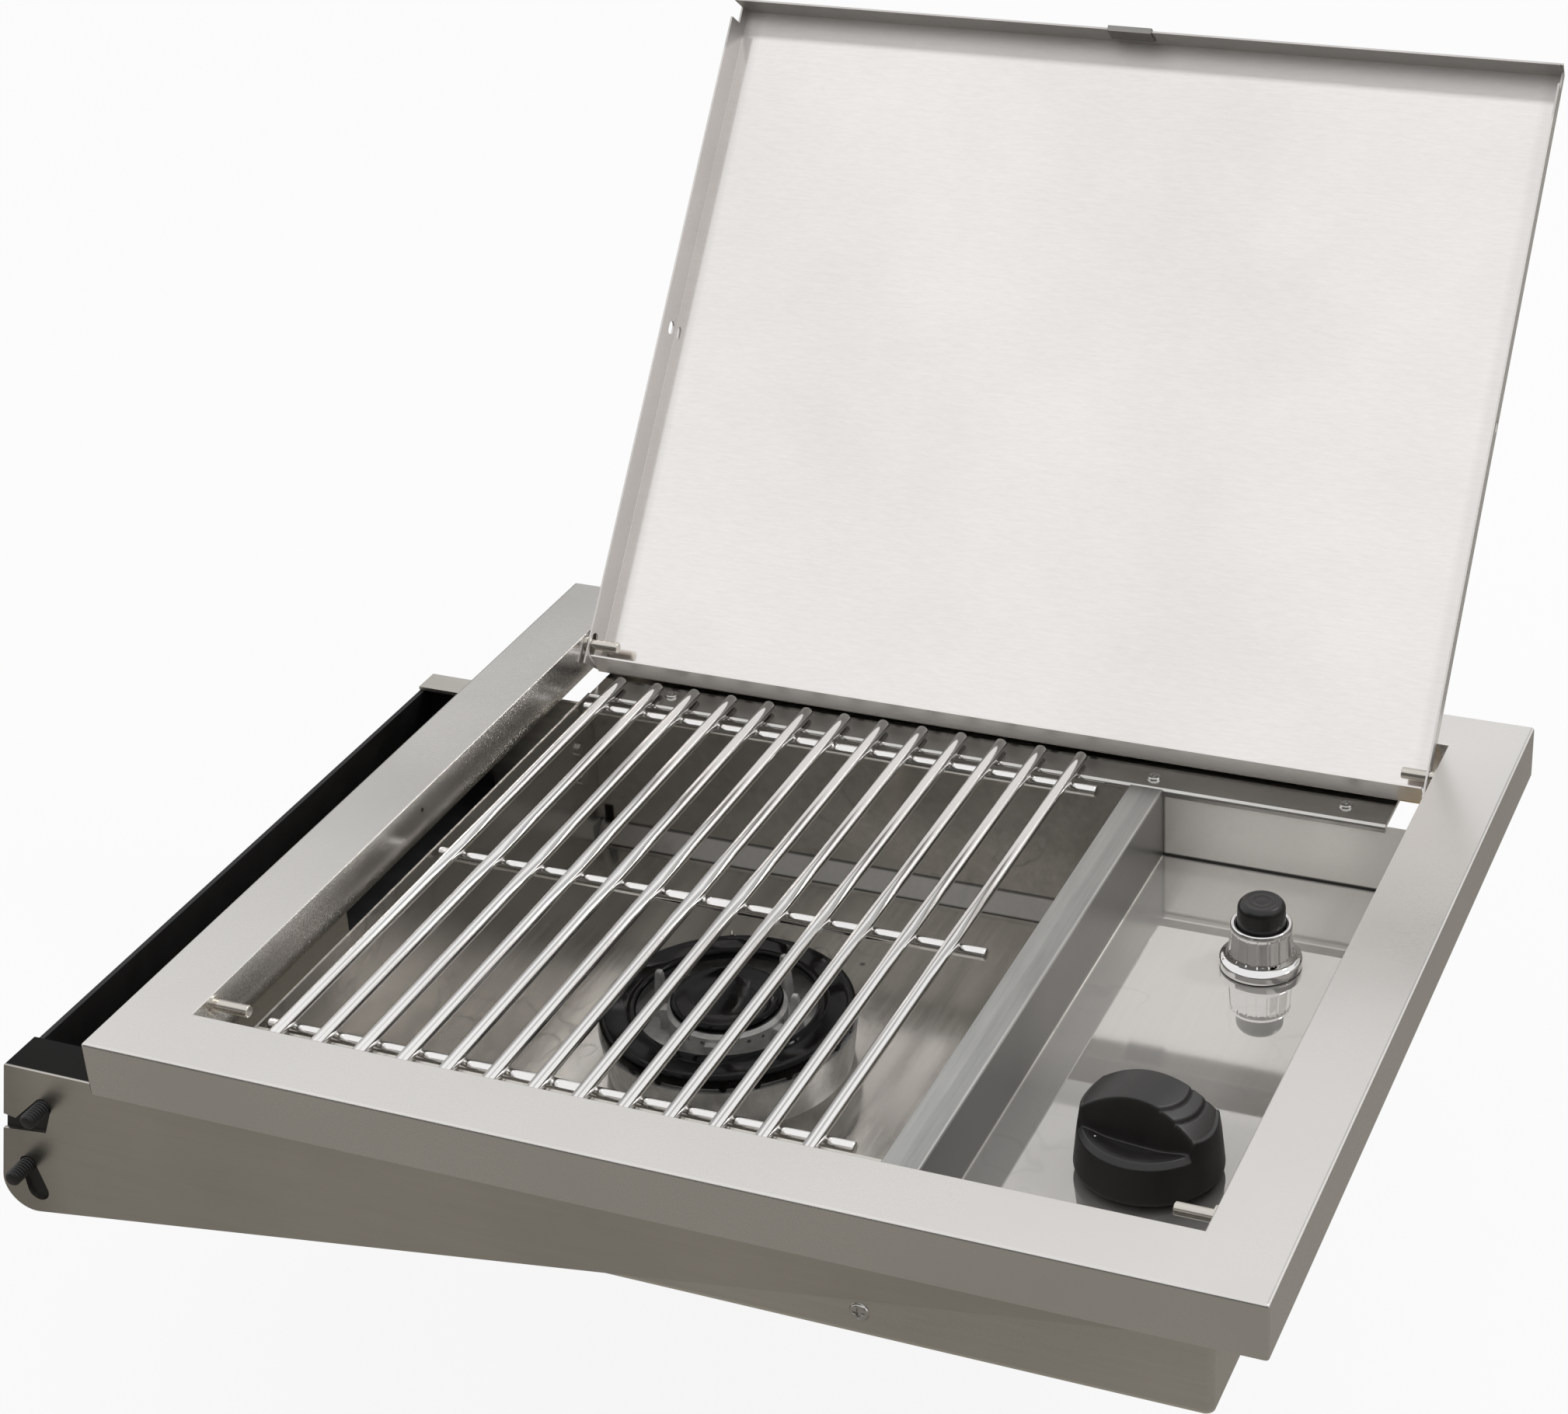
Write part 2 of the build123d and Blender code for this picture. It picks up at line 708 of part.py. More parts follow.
def make_burner_box():
    """Outer box: front wall, right wall and a short return at the left."""
    top = -frame_sheet
    body = block(box_left_x, box_right_x, box_front_y, tub_rear_y, box_bottom_z, top)
    corner = Vector(box_right_x, box_front_y, (box_bottom_z + top) / 2)
    edge = body.edges().filter_by(Axis.Z).sort_by_distance(corner)[0]
    body = fillet(edge, box_corner_radius)
    inner = block(box_left_x + body_sheet, box_right_x - body_sheet, tray_front,
                  tub_rear_y + overrun, box_bottom_z - overrun, top + overrun)
    edge = inner.edges().filter_by(Axis.Z).sort_by_distance(corner)[0]
    body -= fillet(edge, box_corner_radius - body_sheet)
    body -= block(box_left_x - overrun, box_left_x + body_sheet + overrun, box_left_return,
                  tub_rear_y + overrun, box_bottom_z - overrun, top + overrun)
    return body - bar((front_screw_x, box_front_y - overrun, front_screw_z),
                      (front_screw_x, box_front_y + overrun, front_screw_z), screw_radius)


def make_firebox():
    """Burner tub with a front shelf, a rear seat under the ledge and a low step at the back."""
    wall_x0 = tub_left_outer
    wall_x1 = tub_right_x + body_sheet
    wall_y0 = tub_front_y - body_sheet
    floor = tub_floor_z - body_sheet
    shelf_right = divider_left_x - seat_clearance
    body = block(wall_x0, wall_x1, wall_y0, wall_outer_y, floor, divider_bottom)
    body += block(wall_x0, tub_left_x, wall_y0, wall_outer_y, divider_bottom, tub_top_z)
    body += block(wall_x0, shelf_right, wall_y0, tub_front_y, divider_bottom, tub_top_z)
    body += block(wall_x0, shelf_right, tray_front, tub_front_y, ledge_bottom, tub_top_z)
    body += block(wall_x0, wall_x1, tub_rear_y, rear_seat_y, ledge_bottom - body_sheet, ledge_bottom)
    step = [(tub_rear_y, tub_floor_z + tub_step_height), (tub_rear_y - tub_step_height, tub_floor_z)]
    step += [(tub_front_y, tub_floor_z), (tub_front_y, overrun), (tub_rear_y, overrun)]
    body -= plate_along(step, tub_left_x, tub_right_x)
    body -= post(burner_x, burner_y, floor - overrun, tub_floor_z + overrun, throat_radius + throat_clearance)
    for y, z in rivet_places():
        body -= bar((wall_x0 - overrun, y, z), (tub_left_x + overrun, y, z), screw_radius)
    for x, y in ledge_screw_places():
        body -= post(x, y, ledge_bottom - screw_length, tub_top_z, screw_radius)
    x, y = electrode_place()
    return body - post(x, y, floor - overrun, tub_floor_z + overrun, ceramic_radius + electrode_clearance)


def ledge_screw_places():
    """Screws through the rear ledge."""
    ends = ((ledge_screw_left_x, ledge_screw_y), (ledge_screw_right_x, ledge_screw_y))
    return ends + ((divider_screw_x, divider_screw_y),)


def make_rear_ledge():
    """Shelf behind the tub and the control tray, turned up to the frame at the back."""
    left = tub_left_x
    lip_low = tub_top_z - ledge_lip
    section = [(ledge_front_y, tub_top_z), (ledge_rear_y - body_sheet, tub_top_z)]
    section += [(ledge_rear_y - body_sheet, -frame_sheet), (ledge_rear_y, -frame_sheet)]
    section += [(ledge_rear_y, ledge_bottom), (ledge_front_y + body_sheet, ledge_bottom)]
    section += [(ledge_front_y + body_sheet, lip_low), (ledge_front_y, lip_low)]
    body = plate_along(section, left, ledge_right_x)
    corner = Vector((left + ledge_right_x) / 2, ledge_front_y, tub_top_z)
    edge = body.edges().filter_by(Axis.X).sort_by_distance(corner)[0]
    body = fillet(edge, ledge_bend_radius)
    body -= block(tub_right_x - seat_clearance, divider_right_x + seat_clearance, ledge_front_y - overrun,
                  ledge_front_y + body_sheet, lip_low - overrun, ledge_bottom)
    for x, y in ledge_screw_places():
        body -= post(x, y, tub_top_z - overrun, tub_top_z + overrun, screw_radius)
    return body


def make_ledge_screws():
    """Pan head screws that hold the ledge to the tub and the tray."""
    pieces = []
    for x, y in ledge_screw_places():
        head = post(x, y, tub_top_z, tub_top_z + screw_head_height, screw_head_radius)
        head = round_end(head, Axis.Z, True, screw_head_height * roll_share)
        pieces.append(head + post(x, y, tub_top_z, tub_top_z - screw_length, screw_radius))
    return pieces


def make_front_screw():
    """Screw in the box's front wall that holds the tray."""
    head_y = box_front_y - front_screw_head_height
    head = bar((front_screw_x, head_y, front_screw_z), (front_screw_x, box_front_y, front_screw_z),
               front_screw_head_radius)
    head = round_end(head, Axis.Y, False, front_screw_head_height * roll_share)
    return head + bar((front_screw_x, box_front_y, front_screw_z),
                      (front_screw_x, box_front_y + screw_length, front_screw_z), screw_radius)


def make_divider():
    """Folded cap over the walls between the tub and the tray."""
    rear = ledge_front_y
    body = block(divider_left_x, divider_right_x, divider_front_y, rear, divider_bottom, tub_top_z)
    leg_low = divider_bottom - divider_leg
    left_leg = divider_left_x + divider_leg_inset
    right_leg = divider_right_x - divider_leg_inset
    body += block(left_leg, left_leg + divider_sheet, divider_front_y, rear, leg_low, divider_bottom)
    return body + block(right_leg - divider_sheet, right_leg, divider_front_y, rear, leg_low, divider_bottom)


def make_control_tray():
    """Polished tray for the knob and the igniter."""
    left = tray_left - body_sheet
    body = block(left, tray_right, tray_front, wall_outer_y, panel_bottom, divider_bottom)
    corner = Vector(tray_right, tray_front, (panel_bottom + divider_bottom) / 2)
    edge = body.edges().filter_by(Axis.Z).sort_by_distance(corner)[0]
    body = fillet(edge, box_corner_radius - body_sheet)
    body -= block(tray_left, tray_right - body_sheet, tray_front + body_sheet, tub_rear_y,
                  panel_z, overrun)
    body += block(left - tray_tab, left, tray_front, tray_front + body_sheet, panel_bottom, divider_bottom)
    body += block(tub_right_x + body_sheet + seat_clearance, ledge_right_x, wall_outer_y, rear_seat_y,
                  ledge_bottom - body_sheet, ledge_bottom)
    body += block(tray_left, ledge_right_x, tub_rear_y, wall_outer_y, divider_bottom, ledge_bottom)
    body -= bar((front_screw_x, box_front_y, front_screw_z),
                (front_screw_x, box_front_y + screw_length, front_screw_z), screw_radius)
    for x, y, radius in ((knob_x, knob_y, valve_neck_radius), (igniter_x, igniter_y, barrel_radius)):
        body -= post(x, y, panel_bottom - overrun, panel_z + overrun, radius + seat_clearance)
    for x, y in ledge_screw_places():
        body -= post(x, y, ledge_bottom - screw_length, tub_top_z, screw_radius)
    return body


def make_grate_rods():
    """Thirteen round rods with domed ends."""
    pieces = []
    for number in range(rod_count):
        x = first_rod_x + number * rod_pitch
        rod = bar((x, rod_front_y, rod_z), (x, rod_rear_y, rod_z), rod_radius)
        pieces.append(fillet(rod.edges().filter_by(GeomType.CIRCLE), rod_radius * dome_share))
    return pieces


def make_cross_rods():
    """Three cross rods welded under the long ones."""
    pieces = []
    for number in range(cross_rod_count):
        y = cross_rod_front_y + number * cross_rod_pitch
        rod = bar((cross_rod_left_x, y, cross_rod_z), (cross_rod_right_x, y, cross_rod_z), cross_rod_radius)
        pieces.append(chamfer(rod.edges().filter_by(GeomType.CIRCLE), cross_rod_radius * end_chamfer_share))
    return pieces


def around(count):
    """Evenly spaced angles round a circle, in degrees."""
    return [360 * number / count for number in range(count)]


def burner_point(radius, angle, z):
    """A point round the burner's axis."""
    return (burner_x + radius * cos(radians(angle)), burner_y + radius * sin(radians(angle)), z)


def at_burner(angle, shape):
    """Carry a piece drawn along x to an angle round the burner's axis."""
    return Location((burner_x, burner_y, 0)) * Rotation(0, 0, angle) * shape


def make_burner_ring():
    """Enamelled ring with a rolled rim inside and a toothed skirt outside."""
    low = ring_top_z - ring_dish
    outer = ring_outer_radius
    inner = ring_inner_radius
    section = [(inner, ring_top_z), (inner + ring_roll, ring_top_z), (inner + ring_roll + ring_dish, low)]
    section += [(outer - ring_dish, low), (outer, low - ring_dish), (outer, ring_top_z - ring_skirt)]
    section += [(outer - ring_sheet, ring_top_z - ring_skirt), (outer - ring_sheet, low - ring_dish)]
    section += [(outer - ring_dish - ring_sheet, low - ring_sheet)]
    section += [(inner + ring_sheet, low - ring_sheet)]
    section += [(inner + ring_sheet, ring_top_z - ring_lip), (inner, ring_top_z - ring_lip)]
    body = turned(burner_x, burner_y, section)
    rim = body.edges().filter_by(GeomType.CIRCLE).group_by(Axis.Z)[-1]
    body = fillet(rim, ring_sheet * roll_share)
    skirt_low = ring_top_z - ring_skirt
    for angle in around(ring_tooth_count):
        tooth = block(outer - ring_sheet * tooth_inset_share, outer - ring_sheet * roll_share / 2,
                      -ring_tooth_width / 2, ring_tooth_width / 2,
                      skirt_low - ring_tooth_height, skirt_low + ring_tooth_height)
        body += at_burner(angle, tooth)
    return body


def make_burner_cap():
    """Enamelled cap with a shallow dish in its top and a spigot below."""
    low = cap_top_z - cap_thickness
    section = [(0, cap_top_z - cap_dish), (cap_radius * dish_share, cap_top_z - cap_dish)]
    section += [(cap_radius - cap_dish, cap_top_z), (cap_radius, cap_top_z - cap_dish), (cap_radius, low)]
    section += [(cap_spigot_radius, low), (cap_spigot_radius, low - cap_spigot_height)]
    section += [(0, low - cap_spigot_height)]
    return turned(burner_x, burner_y, section)


def make_burner_crown():
    """Cast crown with a ring of flame ports and small lugs at its foot."""
    section = [(crown_bore_radius, crown_top_z), (crown_radius - ring_sheet, crown_top_z)]
    section += [(crown_radius, crown_top_z - ring_sheet), (crown_radius, bowl_deck_z)]
    section += [(crown_bore_radius, bowl_deck_z)]
    body = turned(burner_x, burner_y, section)
    for angle in around(port_count):
        body -= bar(burner_point(crown_bore_radius - overrun, angle, port_z),
                    burner_point(crown_radius + overrun, angle, port_z), port_radius)
    for angle in lug_angles:
        lug = block(crown_radius - ring_sheet, lug_radius, -lug_size / 2, lug_size / 2,
                    bowl_deck_z, lug_top_z)
        body += at_burner(angle, lug)
    return body


def make_burner_posts():
    """Tapered posts that stand round the crown."""
    pieces = []
    for angle in post_angles:
        foot = Plane((post_radius, 0, bowl_deck_z)) * Rectangle(post_width, post_width)
        tip = Plane((post_radius, 0, post_top_z)) * Rectangle(post_tip_width, post_tip_width)
        pieces.append(at_burner(angle, loft([foot, tip])))
    return pieces


def make_burner_base():
    """Cast bowl with a throat through the tub's floor for the mixing tube."""
    inner = throat_radius - throat_wall
    low = tube_axis_z - tube_radius - throat_wall
    section = [(bowl_foot_radius, tub_floor_z), (bowl_rim_radius, bowl_rim_z)]
    section += [(bowl_rim_radius - bowl_wall, bowl_rim_z), (bowl_rim_radius - bowl_wall, bowl_deck_z)]
    section += [(inner, bowl_deck_z), (inner, low + throat_wall), (0, low + throat_wall), (0, low)]
    section += [(throat_radius, low), (throat_radius, tub_floor_z)]
    body = turned(burner_x, burner_y, section)
    return body - bar(tube_point(tube_mouth), tube_point(0), tube_radius + running_clearance)


def tube_point(distance):
    """A point on the mixing tube's axis at a distance from the burner's axis."""
    share = distance / tube_run
    return (burner_x + tube_run_x * share, burner_y + tube_run_y * share, tube_axis_z)


def tube_frame(distance):
    """A plane across the mixing tube at a distance from the burner's axis."""
    return Plane(origin=tube_point(distance), z_dir=(tube_run_x, tube_run_y, 0))


def make_mixing_tube():
    """Straight mixing tube with air windows at the jet's end."""
    seat = throat_radius - throat_wall
    body = bar(tube_point(seat), tube_point(tube_mouth), tube_radius)
    body -= bar(tube_point(seat - overrun), tube_point(tube_mouth + overrun), tube_radius - tube_wall)
    window = Box(tube_radius, tube_radius * 3, tube_window_length)
    return body - tube_frame(tube_mouth - tube_window_length) * window


def make_injector():
    """Brass jet between the valve and the mixing tube."""
    start = jet_start
    tip = start - jet_length
    body = bar(tube_point(start), tube_point(tip + jet_tip_length), jet_tip_radius)
    body += tube_frame(start - jet_radius) * extrude(RegularPolygon(jet_radius, 6), amount=jet_radius)
    body += bar(tube_point(tip + jet_tip_length), tube_point(tip), jet_tip_radius * dome_share)
    return body - bar(tube_point(start + overrun), tube_point(tip - overrun), jet_bore_radius)


def make_valve_body():
    """Tap body under the panel with a neck through it and an elbow down to the jet."""
    x0 = knob_x - valve_width / 2
    y0 = knob_y - valve_depth / 2
    body = block(x0, x0 + valve_width, y0, y0 + valve_depth, valve_low, panel_bottom)
    body += post(knob_x, knob_y, panel_bottom, panel_z, valve_neck_radius)
    body += post(knob_x, knob_y, tube_axis_z - valve_elbow_radius, valve_low, valve_elbow_radius)
    body += bar(tube_point(jet_start), tube_point(tube_run), jet_radius)
    body -= post(knob_x, knob_y, guide_floor_z, panel_z + overrun, stem_guide_radius + running_clearance)
    return body - post(knob_x, knob_y, pocket_floor_z, panel_z + overrun, thrust_radius + running_clearance)


def make_valve_stem():
    """Stem with a flat for the knob and a thin guide below."""
    top = knob_bottom_z + knob_bore_height + knob_stem_seat
    body = post(knob_x, knob_y, panel_z, top, stem_radius)
    body -= block(knob_x - stem_radius, knob_x + stem_radius, knob_y + stem_radius - stem_flat_depth,
                  knob_y + stem_radius, knob_bottom_z, top + overrun)
    guide_low = guide_floor_z + knob_travel + seat_clearance
    return body + post(knob_x, knob_y, guide_low, panel_z, stem_guide_radius)


def make_stem_washer():
    """Thrust washer that slides with the stem."""
    top = panel_z
    ring = post(knob_x, knob_y, top - thrust_height, top, thrust_radius)
    return ring - post(knob_x, knob_y, top - overrun, top + overrun, stem_guide_radius + running_clearance)


def make_knob():
    """Tapered round knob with a domed grip ridge across it and a shelf on each side."""
    low = knob_bottom_z
    shelf = low + knob_shelf_height
    section = [(0, low), (knob_radius, low), (knob_shelf_radius, shelf - knob_shelf_bevel)]
    section += [(knob_shelf_radius - knob_shelf_bevel, shelf), (0, shelf)]
    body = turned(knob_x, knob_y, section)
    section = [(0, low), (knob_shelf_radius, low), (knob_shelf_radius, shelf - knob_shelf_bevel)]
    section += [(knob_shoulder_radius, low + knob_shoulder_height)]
    section += [(knob_crown_radius, knob_top_z - knob_crown_drop), (0, knob_top_z)]
    ridge = turned(knob_x, knob_y, section)
    top = knob_top_z + overrun
    lean = (knob_grip_foot - knob_grip_half) / (knob_top_z - shelf)
    for side in (-1, 1):
        foot_y = knob_y + side * knob_grip_foot
        top_y = foot_y - side * lean * (top - shelf)
        far_y = knob_y + side * (knob_radius + overrun)
        cutter = plate_along([(foot_y, shelf), (top_y, top), (far_y, top), (far_y, shelf)],
                             knob_x - knob_radius - overrun, knob_x + knob_radius + overrun)
        ridge -= cutter.rotate(Axis((knob_x, knob_y, 0), (0, 0, 1)), -knob_grip_turn)
    body += ridge
    body -= post(knob_x, knob_y, low - overrun, low + knob_bore_height, knob_shelf_radius - knob_wall)
    body += post(knob_x, knob_y, low, low + knob_bore_height, knob_boss_radius)
    bore = post(knob_x, knob_y, low - overrun, low + knob_bore_height + knob_stem_seat, stem_radius)
    bore -= block(knob_x - stem_radius, knob_x + stem_radius, knob_y + stem_radius - stem_flat_depth,
                  knob_y + stem_radius, low - overrun - overrun, knob_top_z)
    return body - bore


def make_igniter_gasket():
    """Thin gasket under the igniter's flange."""
    ring = post(igniter_x, igniter_y, panel_z, bezel_bottom_z, gasket_radius)
    return ring - post(igniter_x, igniter_y, panel_z - overrun, bezel_bottom_z + overrun,
                       barrel_radius + seat_clearance)


def make_igniter_bezel():
    """Bezel with a flange, a fluted collar, a bright rim and a barrel through the panel."""
    rim = bezel_rim_radius
    bore = button_radius + button_clearance
    section = [(bore, barrel_bottom_z), (barrel_radius, barrel_bottom_z), (barrel_radius, bezel_bottom_z)]
    section += [(bezel_radius, bezel_bottom_z), (bezel_radius, bezel_flange_z - rim)]
    section += [(bezel_radius - rim, bezel_flange_z), (bezel_collar_radius + rim, bezel_flange_z)]
    section += [(bezel_collar_radius, bezel_flange_z + bezel_slope)]
    section += [(bezel_collar_top_radius, bezel_rim_z - rim), (bezel_collar_top_radius - rim, bezel_rim_z)]
    section += [(bore, bezel_rim_z)]
    body = turned(igniter_x, igniter_y, section)
    for angle in around(flute_count):
        x = bezel_collar_radius * cos(radians(angle))
        y = bezel_collar_radius * sin(radians(angle))
        body -= post(igniter_x + x, igniter_y + y, bezel_flange_z + bezel_slope, bezel_rim_z - rim - rim,
                     flute_radius)
    return body


def make_igniter_button():
    """Push button with a softly domed top."""
    low = button_top_z - button_length
    section = [(0, low), (button_radius, low), (button_radius, button_top_z - button_edge_radius)]
    section += [(button_radius - button_edge_radius, button_top_z - button_dome * dish_share)]
    section += [(button_radius * dish_share, button_top_z), (0, button_top_z)]
    return turned(igniter_x, igniter_y, section)


def make_igniter_nut():
    """Nut that clamps the igniter to the panel."""
    low = panel_bottom - igniter_nut_height
    nut = hexagon(igniter_x, igniter_y, low, igniter_nut_flats, igniter_nut_height, (0, 0, 1))
    return nut - post(igniter_x, igniter_y, low - overrun, panel_bottom + overrun,
                      barrel_radius + running_clearance)


def make_igniter_body():
    """Closed housing below the barrel that holds the battery."""
    body = post(igniter_x, igniter_y, housing_bottom_z, barrel_bottom_z, barrel_radius)
    return body - post(igniter_x, igniter_y, housing_bottom_z + housing_wall, barrel_bottom_z + overrun,
                       housing_bore_radius)


def make_battery():
    """Battery that stands in the housing."""
    foot = housing_bottom_z + housing_wall
    body = post(igniter_x, igniter_y, foot, foot + battery_length - battery_tip_length, battery_radius)
    return body + post(igniter_x, igniter_y, foot, foot + battery_length, battery_tip_radius)


def make_gas_pipe():
    """Gas pipe out of the valve's side and back to the inlet."""
    start = knob_x + valve_width / 2
    path = FilletPolyline((start, knob_y, pipe_z), (pipe_x, knob_y, pipe_z), (pipe_x, inlet_y, pipe_z),
                          radius=pipe_bend_radius)
    ring = Circle(pipe_radius) - Circle(pipe_bore_radius)
    return sweep(Plane(origin=(start, knob_y, pipe_z), z_dir=(1, 0, 0)) * ring, path=path)


def make_inlet_fitting():
    """Gas inlet with a hexagon and an outer thread."""
    body = hexagon(pipe_x, inlet_y, pipe_z, inlet_hex_flats, inlet_hex_length, (0, 1, 0))
    end = inlet_y + inlet_length
    body += bar((pipe_x, inlet_y, pipe_z), (pipe_x, end, pipe_z), inlet_thread_radius)
    return body - bar((pipe_x, inlet_y - overrun, pipe_z), (pipe_x, end + overrun, pipe_z), pipe_bore_radius)


def make_inlet_bracket():
    """Angle bracket that hangs the gas pipe from the tray's floor."""
    x0 = pipe_x - inlet_bracket_width / 2
    x1 = pipe_x + inlet_bracket_width / 2
    y1 = inlet_bracket_y + inlet_bracket_sheet
    body = block(x0, x1, inlet_bracket_y, y1, pipe_z - inlet_bracket_foot, panel_bottom)
    body += block(x0, x1, inlet_bracket_y - inlet_bracket_foot, y1,
                  panel_bottom - inlet_bracket_sheet, panel_bottom)
    return body - bar((pipe_x, inlet_bracket_y - overrun, pipe_z), (pipe_x, y1 + overrun, pipe_z),
                      pipe_radius + running_clearance)


def electrode_place():
    """Place of the spark electrode beside the burner."""
    x, y, z = burner_point(electrode_offset, electrode_angle, 0)
    return (x, y)


def make_spark_electrode():
    """Ceramic rod through the tub's floor."""
    x, y = electrode_place()
    body = post(x, y, tub_floor_z, tub_floor_z + ceramic_foot_height, ceramic_foot_radius)
    low = tub_floor_z - body_sheet - electrode_tail
    return body + post(x, y, low, electrode_top_z - electrode_tip_reach, ceramic_radius)


def make_electrode_tip():
    """Wire at the electrode's top that turns towards the burner."""
    x, y = electrode_place()
    low = electrode_top_z - electrode_tip_reach
    tip = burner_point(electrode_offset - electrode_tip_reach, electrode_angle, electrode_top_z)
    body = post(x, y, low, electrode_top_z, electrode_wire_radius)
    return body + bar((x, y, electrode_top_z), tip, electrode_wire_radius)


nodes = {
    "top_frame": make_top_frame(),
    "burner_box": make_burner_box(),
    "firebox": make_firebox(),
    "control_tray": make_control_tray(),
    "rear_ledge": make_rear_ledge(),
    "divider_cap": make_divider(),
    "front_arm": make_front_arm(),
    "rear_arm": make_rear_arm(),
    "arm_rivets": make_arm_rivets(),
    "end_channel": make_end_channel(),
    "arm_bolts": make_arm_bolts(),
    "arm_nuts": make_arm_nuts(),
    "ledge_screws": make_ledge_screws(),
    "front_screw": make_front_screw(),
    "lid_panel": make_lid(),
    "lid_clip": make_lid_clip(),
    "hinge_pins": make_pins(hinge_y, hinge_z),
    "rest_pins": make_pins(rest_pin_y, rest_pin_z),
    "pin_collars": make_collars(),
    "grate_rods": make_grate_rods(),
    "grate_cross_rods": make_cross_rods(),
    "burner_base": make_burner_base(),
    "burner_posts": make_burner_posts(),
    "burner_crown": make_burner_crown(),
    "burner_ring": make_burner_ring(),
    "burner_cap": make_burner_cap(),
    "mixing_tube": make_mixing_tube(),
    "injector": make_injector(),
    "gas_valve_body": make_valve_body(),
    "valve_stem": make_valve_stem(),
    "stem_washer": make_stem_washer(),
    "knob": make_knob(),
    "gas_pipe": make_gas_pipe(),
    "inlet_fitting": make_inlet_fitting(),
    "inlet_bracket": make_inlet_bracket(),
    "igniter_gasket": make_igniter_gasket(),
    "igniter_bezel": make_igniter_bezel(),
    "igniter_button": make_igniter_button(),
    "igniter_nut": make_igniter_nut(),
    "igniter_body": make_igniter_body(),
    "battery": make_battery(),
    "spark_electrode": make_spark_electrode(),
    "electrode_tip": make_electrode_tip(),
}

os.makedirs("parts", exist_ok=True)
for name, shape in nodes.items():
    pieces = shape if isinstance(shape, list) else [shape]
    moved = [to_origin * piece for piece in pieces]
    export_step(Compound(children=moved) if len(moved) > 1 else moved[0], "parts/" + name + ".step")
print("origin", origin_x, origin_y, origin_z)
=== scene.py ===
import json
import math

import bpy
import numpy as np
from mathutils import Matrix, Vector


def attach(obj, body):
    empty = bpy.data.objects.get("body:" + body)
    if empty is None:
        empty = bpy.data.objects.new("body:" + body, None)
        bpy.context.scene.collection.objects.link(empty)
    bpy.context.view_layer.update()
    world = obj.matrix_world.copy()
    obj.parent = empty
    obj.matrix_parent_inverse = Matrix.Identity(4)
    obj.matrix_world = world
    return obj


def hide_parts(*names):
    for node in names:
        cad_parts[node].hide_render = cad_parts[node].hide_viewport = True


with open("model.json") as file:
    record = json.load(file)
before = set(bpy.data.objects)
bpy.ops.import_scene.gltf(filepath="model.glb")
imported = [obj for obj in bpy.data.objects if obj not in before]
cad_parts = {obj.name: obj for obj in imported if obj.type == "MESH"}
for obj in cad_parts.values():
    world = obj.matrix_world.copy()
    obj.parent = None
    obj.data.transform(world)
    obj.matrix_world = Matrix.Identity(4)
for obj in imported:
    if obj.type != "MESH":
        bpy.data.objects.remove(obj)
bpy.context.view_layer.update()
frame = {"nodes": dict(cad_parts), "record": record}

bpy.context.scene.view_settings.view_transform = "Standard"

# Lengths below are in millimetres from the frame's top front left corner: x right, y back, z up.
mm = 0.001
drawingZero = np.array([42.91925, -154.0, 46.0])


def place(points):
    # drawing millimetres to row metres
    return (np.asarray(points, dtype=float) + drawingZero) * mm


# camera
camera = {
    "at": (613.44, -700.62, 603.12),
    "right": (0.92831, 0.369938, -0.037224),
    "up": (-0.151173, 0.467014, 0.871232),
    "back": (0.339686, -0.803146, 0.489459),
    "focalPixels": 4025.71,
    "imageWidth": 2018,
    "shiftPixels": (-180, 35),
}


def makeCamera():
    # a camera whose lens and shift come from its picture in pixels
    data = bpy.data.cameras.new("camera")
    data.sensor_fit = "HORIZONTAL"
    data.sensor_width = 36
    data.lens = camera["focalPixels"] / camera["imageWidth"] * data.sensor_width
    data.shift_x = camera["shiftPixels"][0] / camera["imageWidth"]
    data.shift_y = camera["shiftPixels"][1] / camera["imageWidth"]
    data.clip_end = 50
    thing = bpy.data.objects.new("camera", data)
    turn = Matrix([camera["right"], camera["up"], camera["back"]]).transposed().to_4x4()
    thing.matrix_world = Matrix.Translation(place(camera["at"])) @ turn
    bpy.context.scene.collection.objects.link(thing)
    bpy.context.scene.camera = thing


makeCamera()
print("camera set")


# node helpers
def newMaterial(name):
    # a material with its tree and its one shader
    material = bpy.data.materials.new(name)
    material.use_nodes = True
    tree = material.node_tree
    return material, tree, tree.nodes["Principled BSDF"]


def addNode(tree, kind, **values):
    # sockets are named with spaces as underscores; anything else is a property
    node = tree.nodes.new(kind)
    for key, value in values.items():
        socket = node.inputs.get(key.replace("_", " "))
        if socket is None:
            setattr(node, key, value)
        else:
            socket.default_value = value
    return node


def feed(tree, socket, value):
    # links a socket, or sets a number or a colour
    if isinstance(value, bpy.types.NodeSocket):
        tree.links.new(value, socket)
    else:
        socket.default_value = (*value, 1) if isinstance(value, tuple) else value


def grainField(tree, scale, detail=3.0, stretch=(1, 1, 1), turn=(0, 0, 0), rough=0.55):
    # noise in object metres, squeezed across the grain
    where = addNode(tree, "ShaderNodeTexCoord")
    mapping = addNode(tree, "ShaderNodeMapping", Scale=stretch, Rotation=turn)
    noise = addNode(tree, "ShaderNodeTexNoise", Scale=scale, Detail=detail, Roughness=rough)
    tree.links.new(where.outputs["Object"], mapping.inputs["Vector"])
    tree.links.new(mapping.outputs["Vector"], noise.inputs["Vector"])
    return noise.outputs["Fac"]


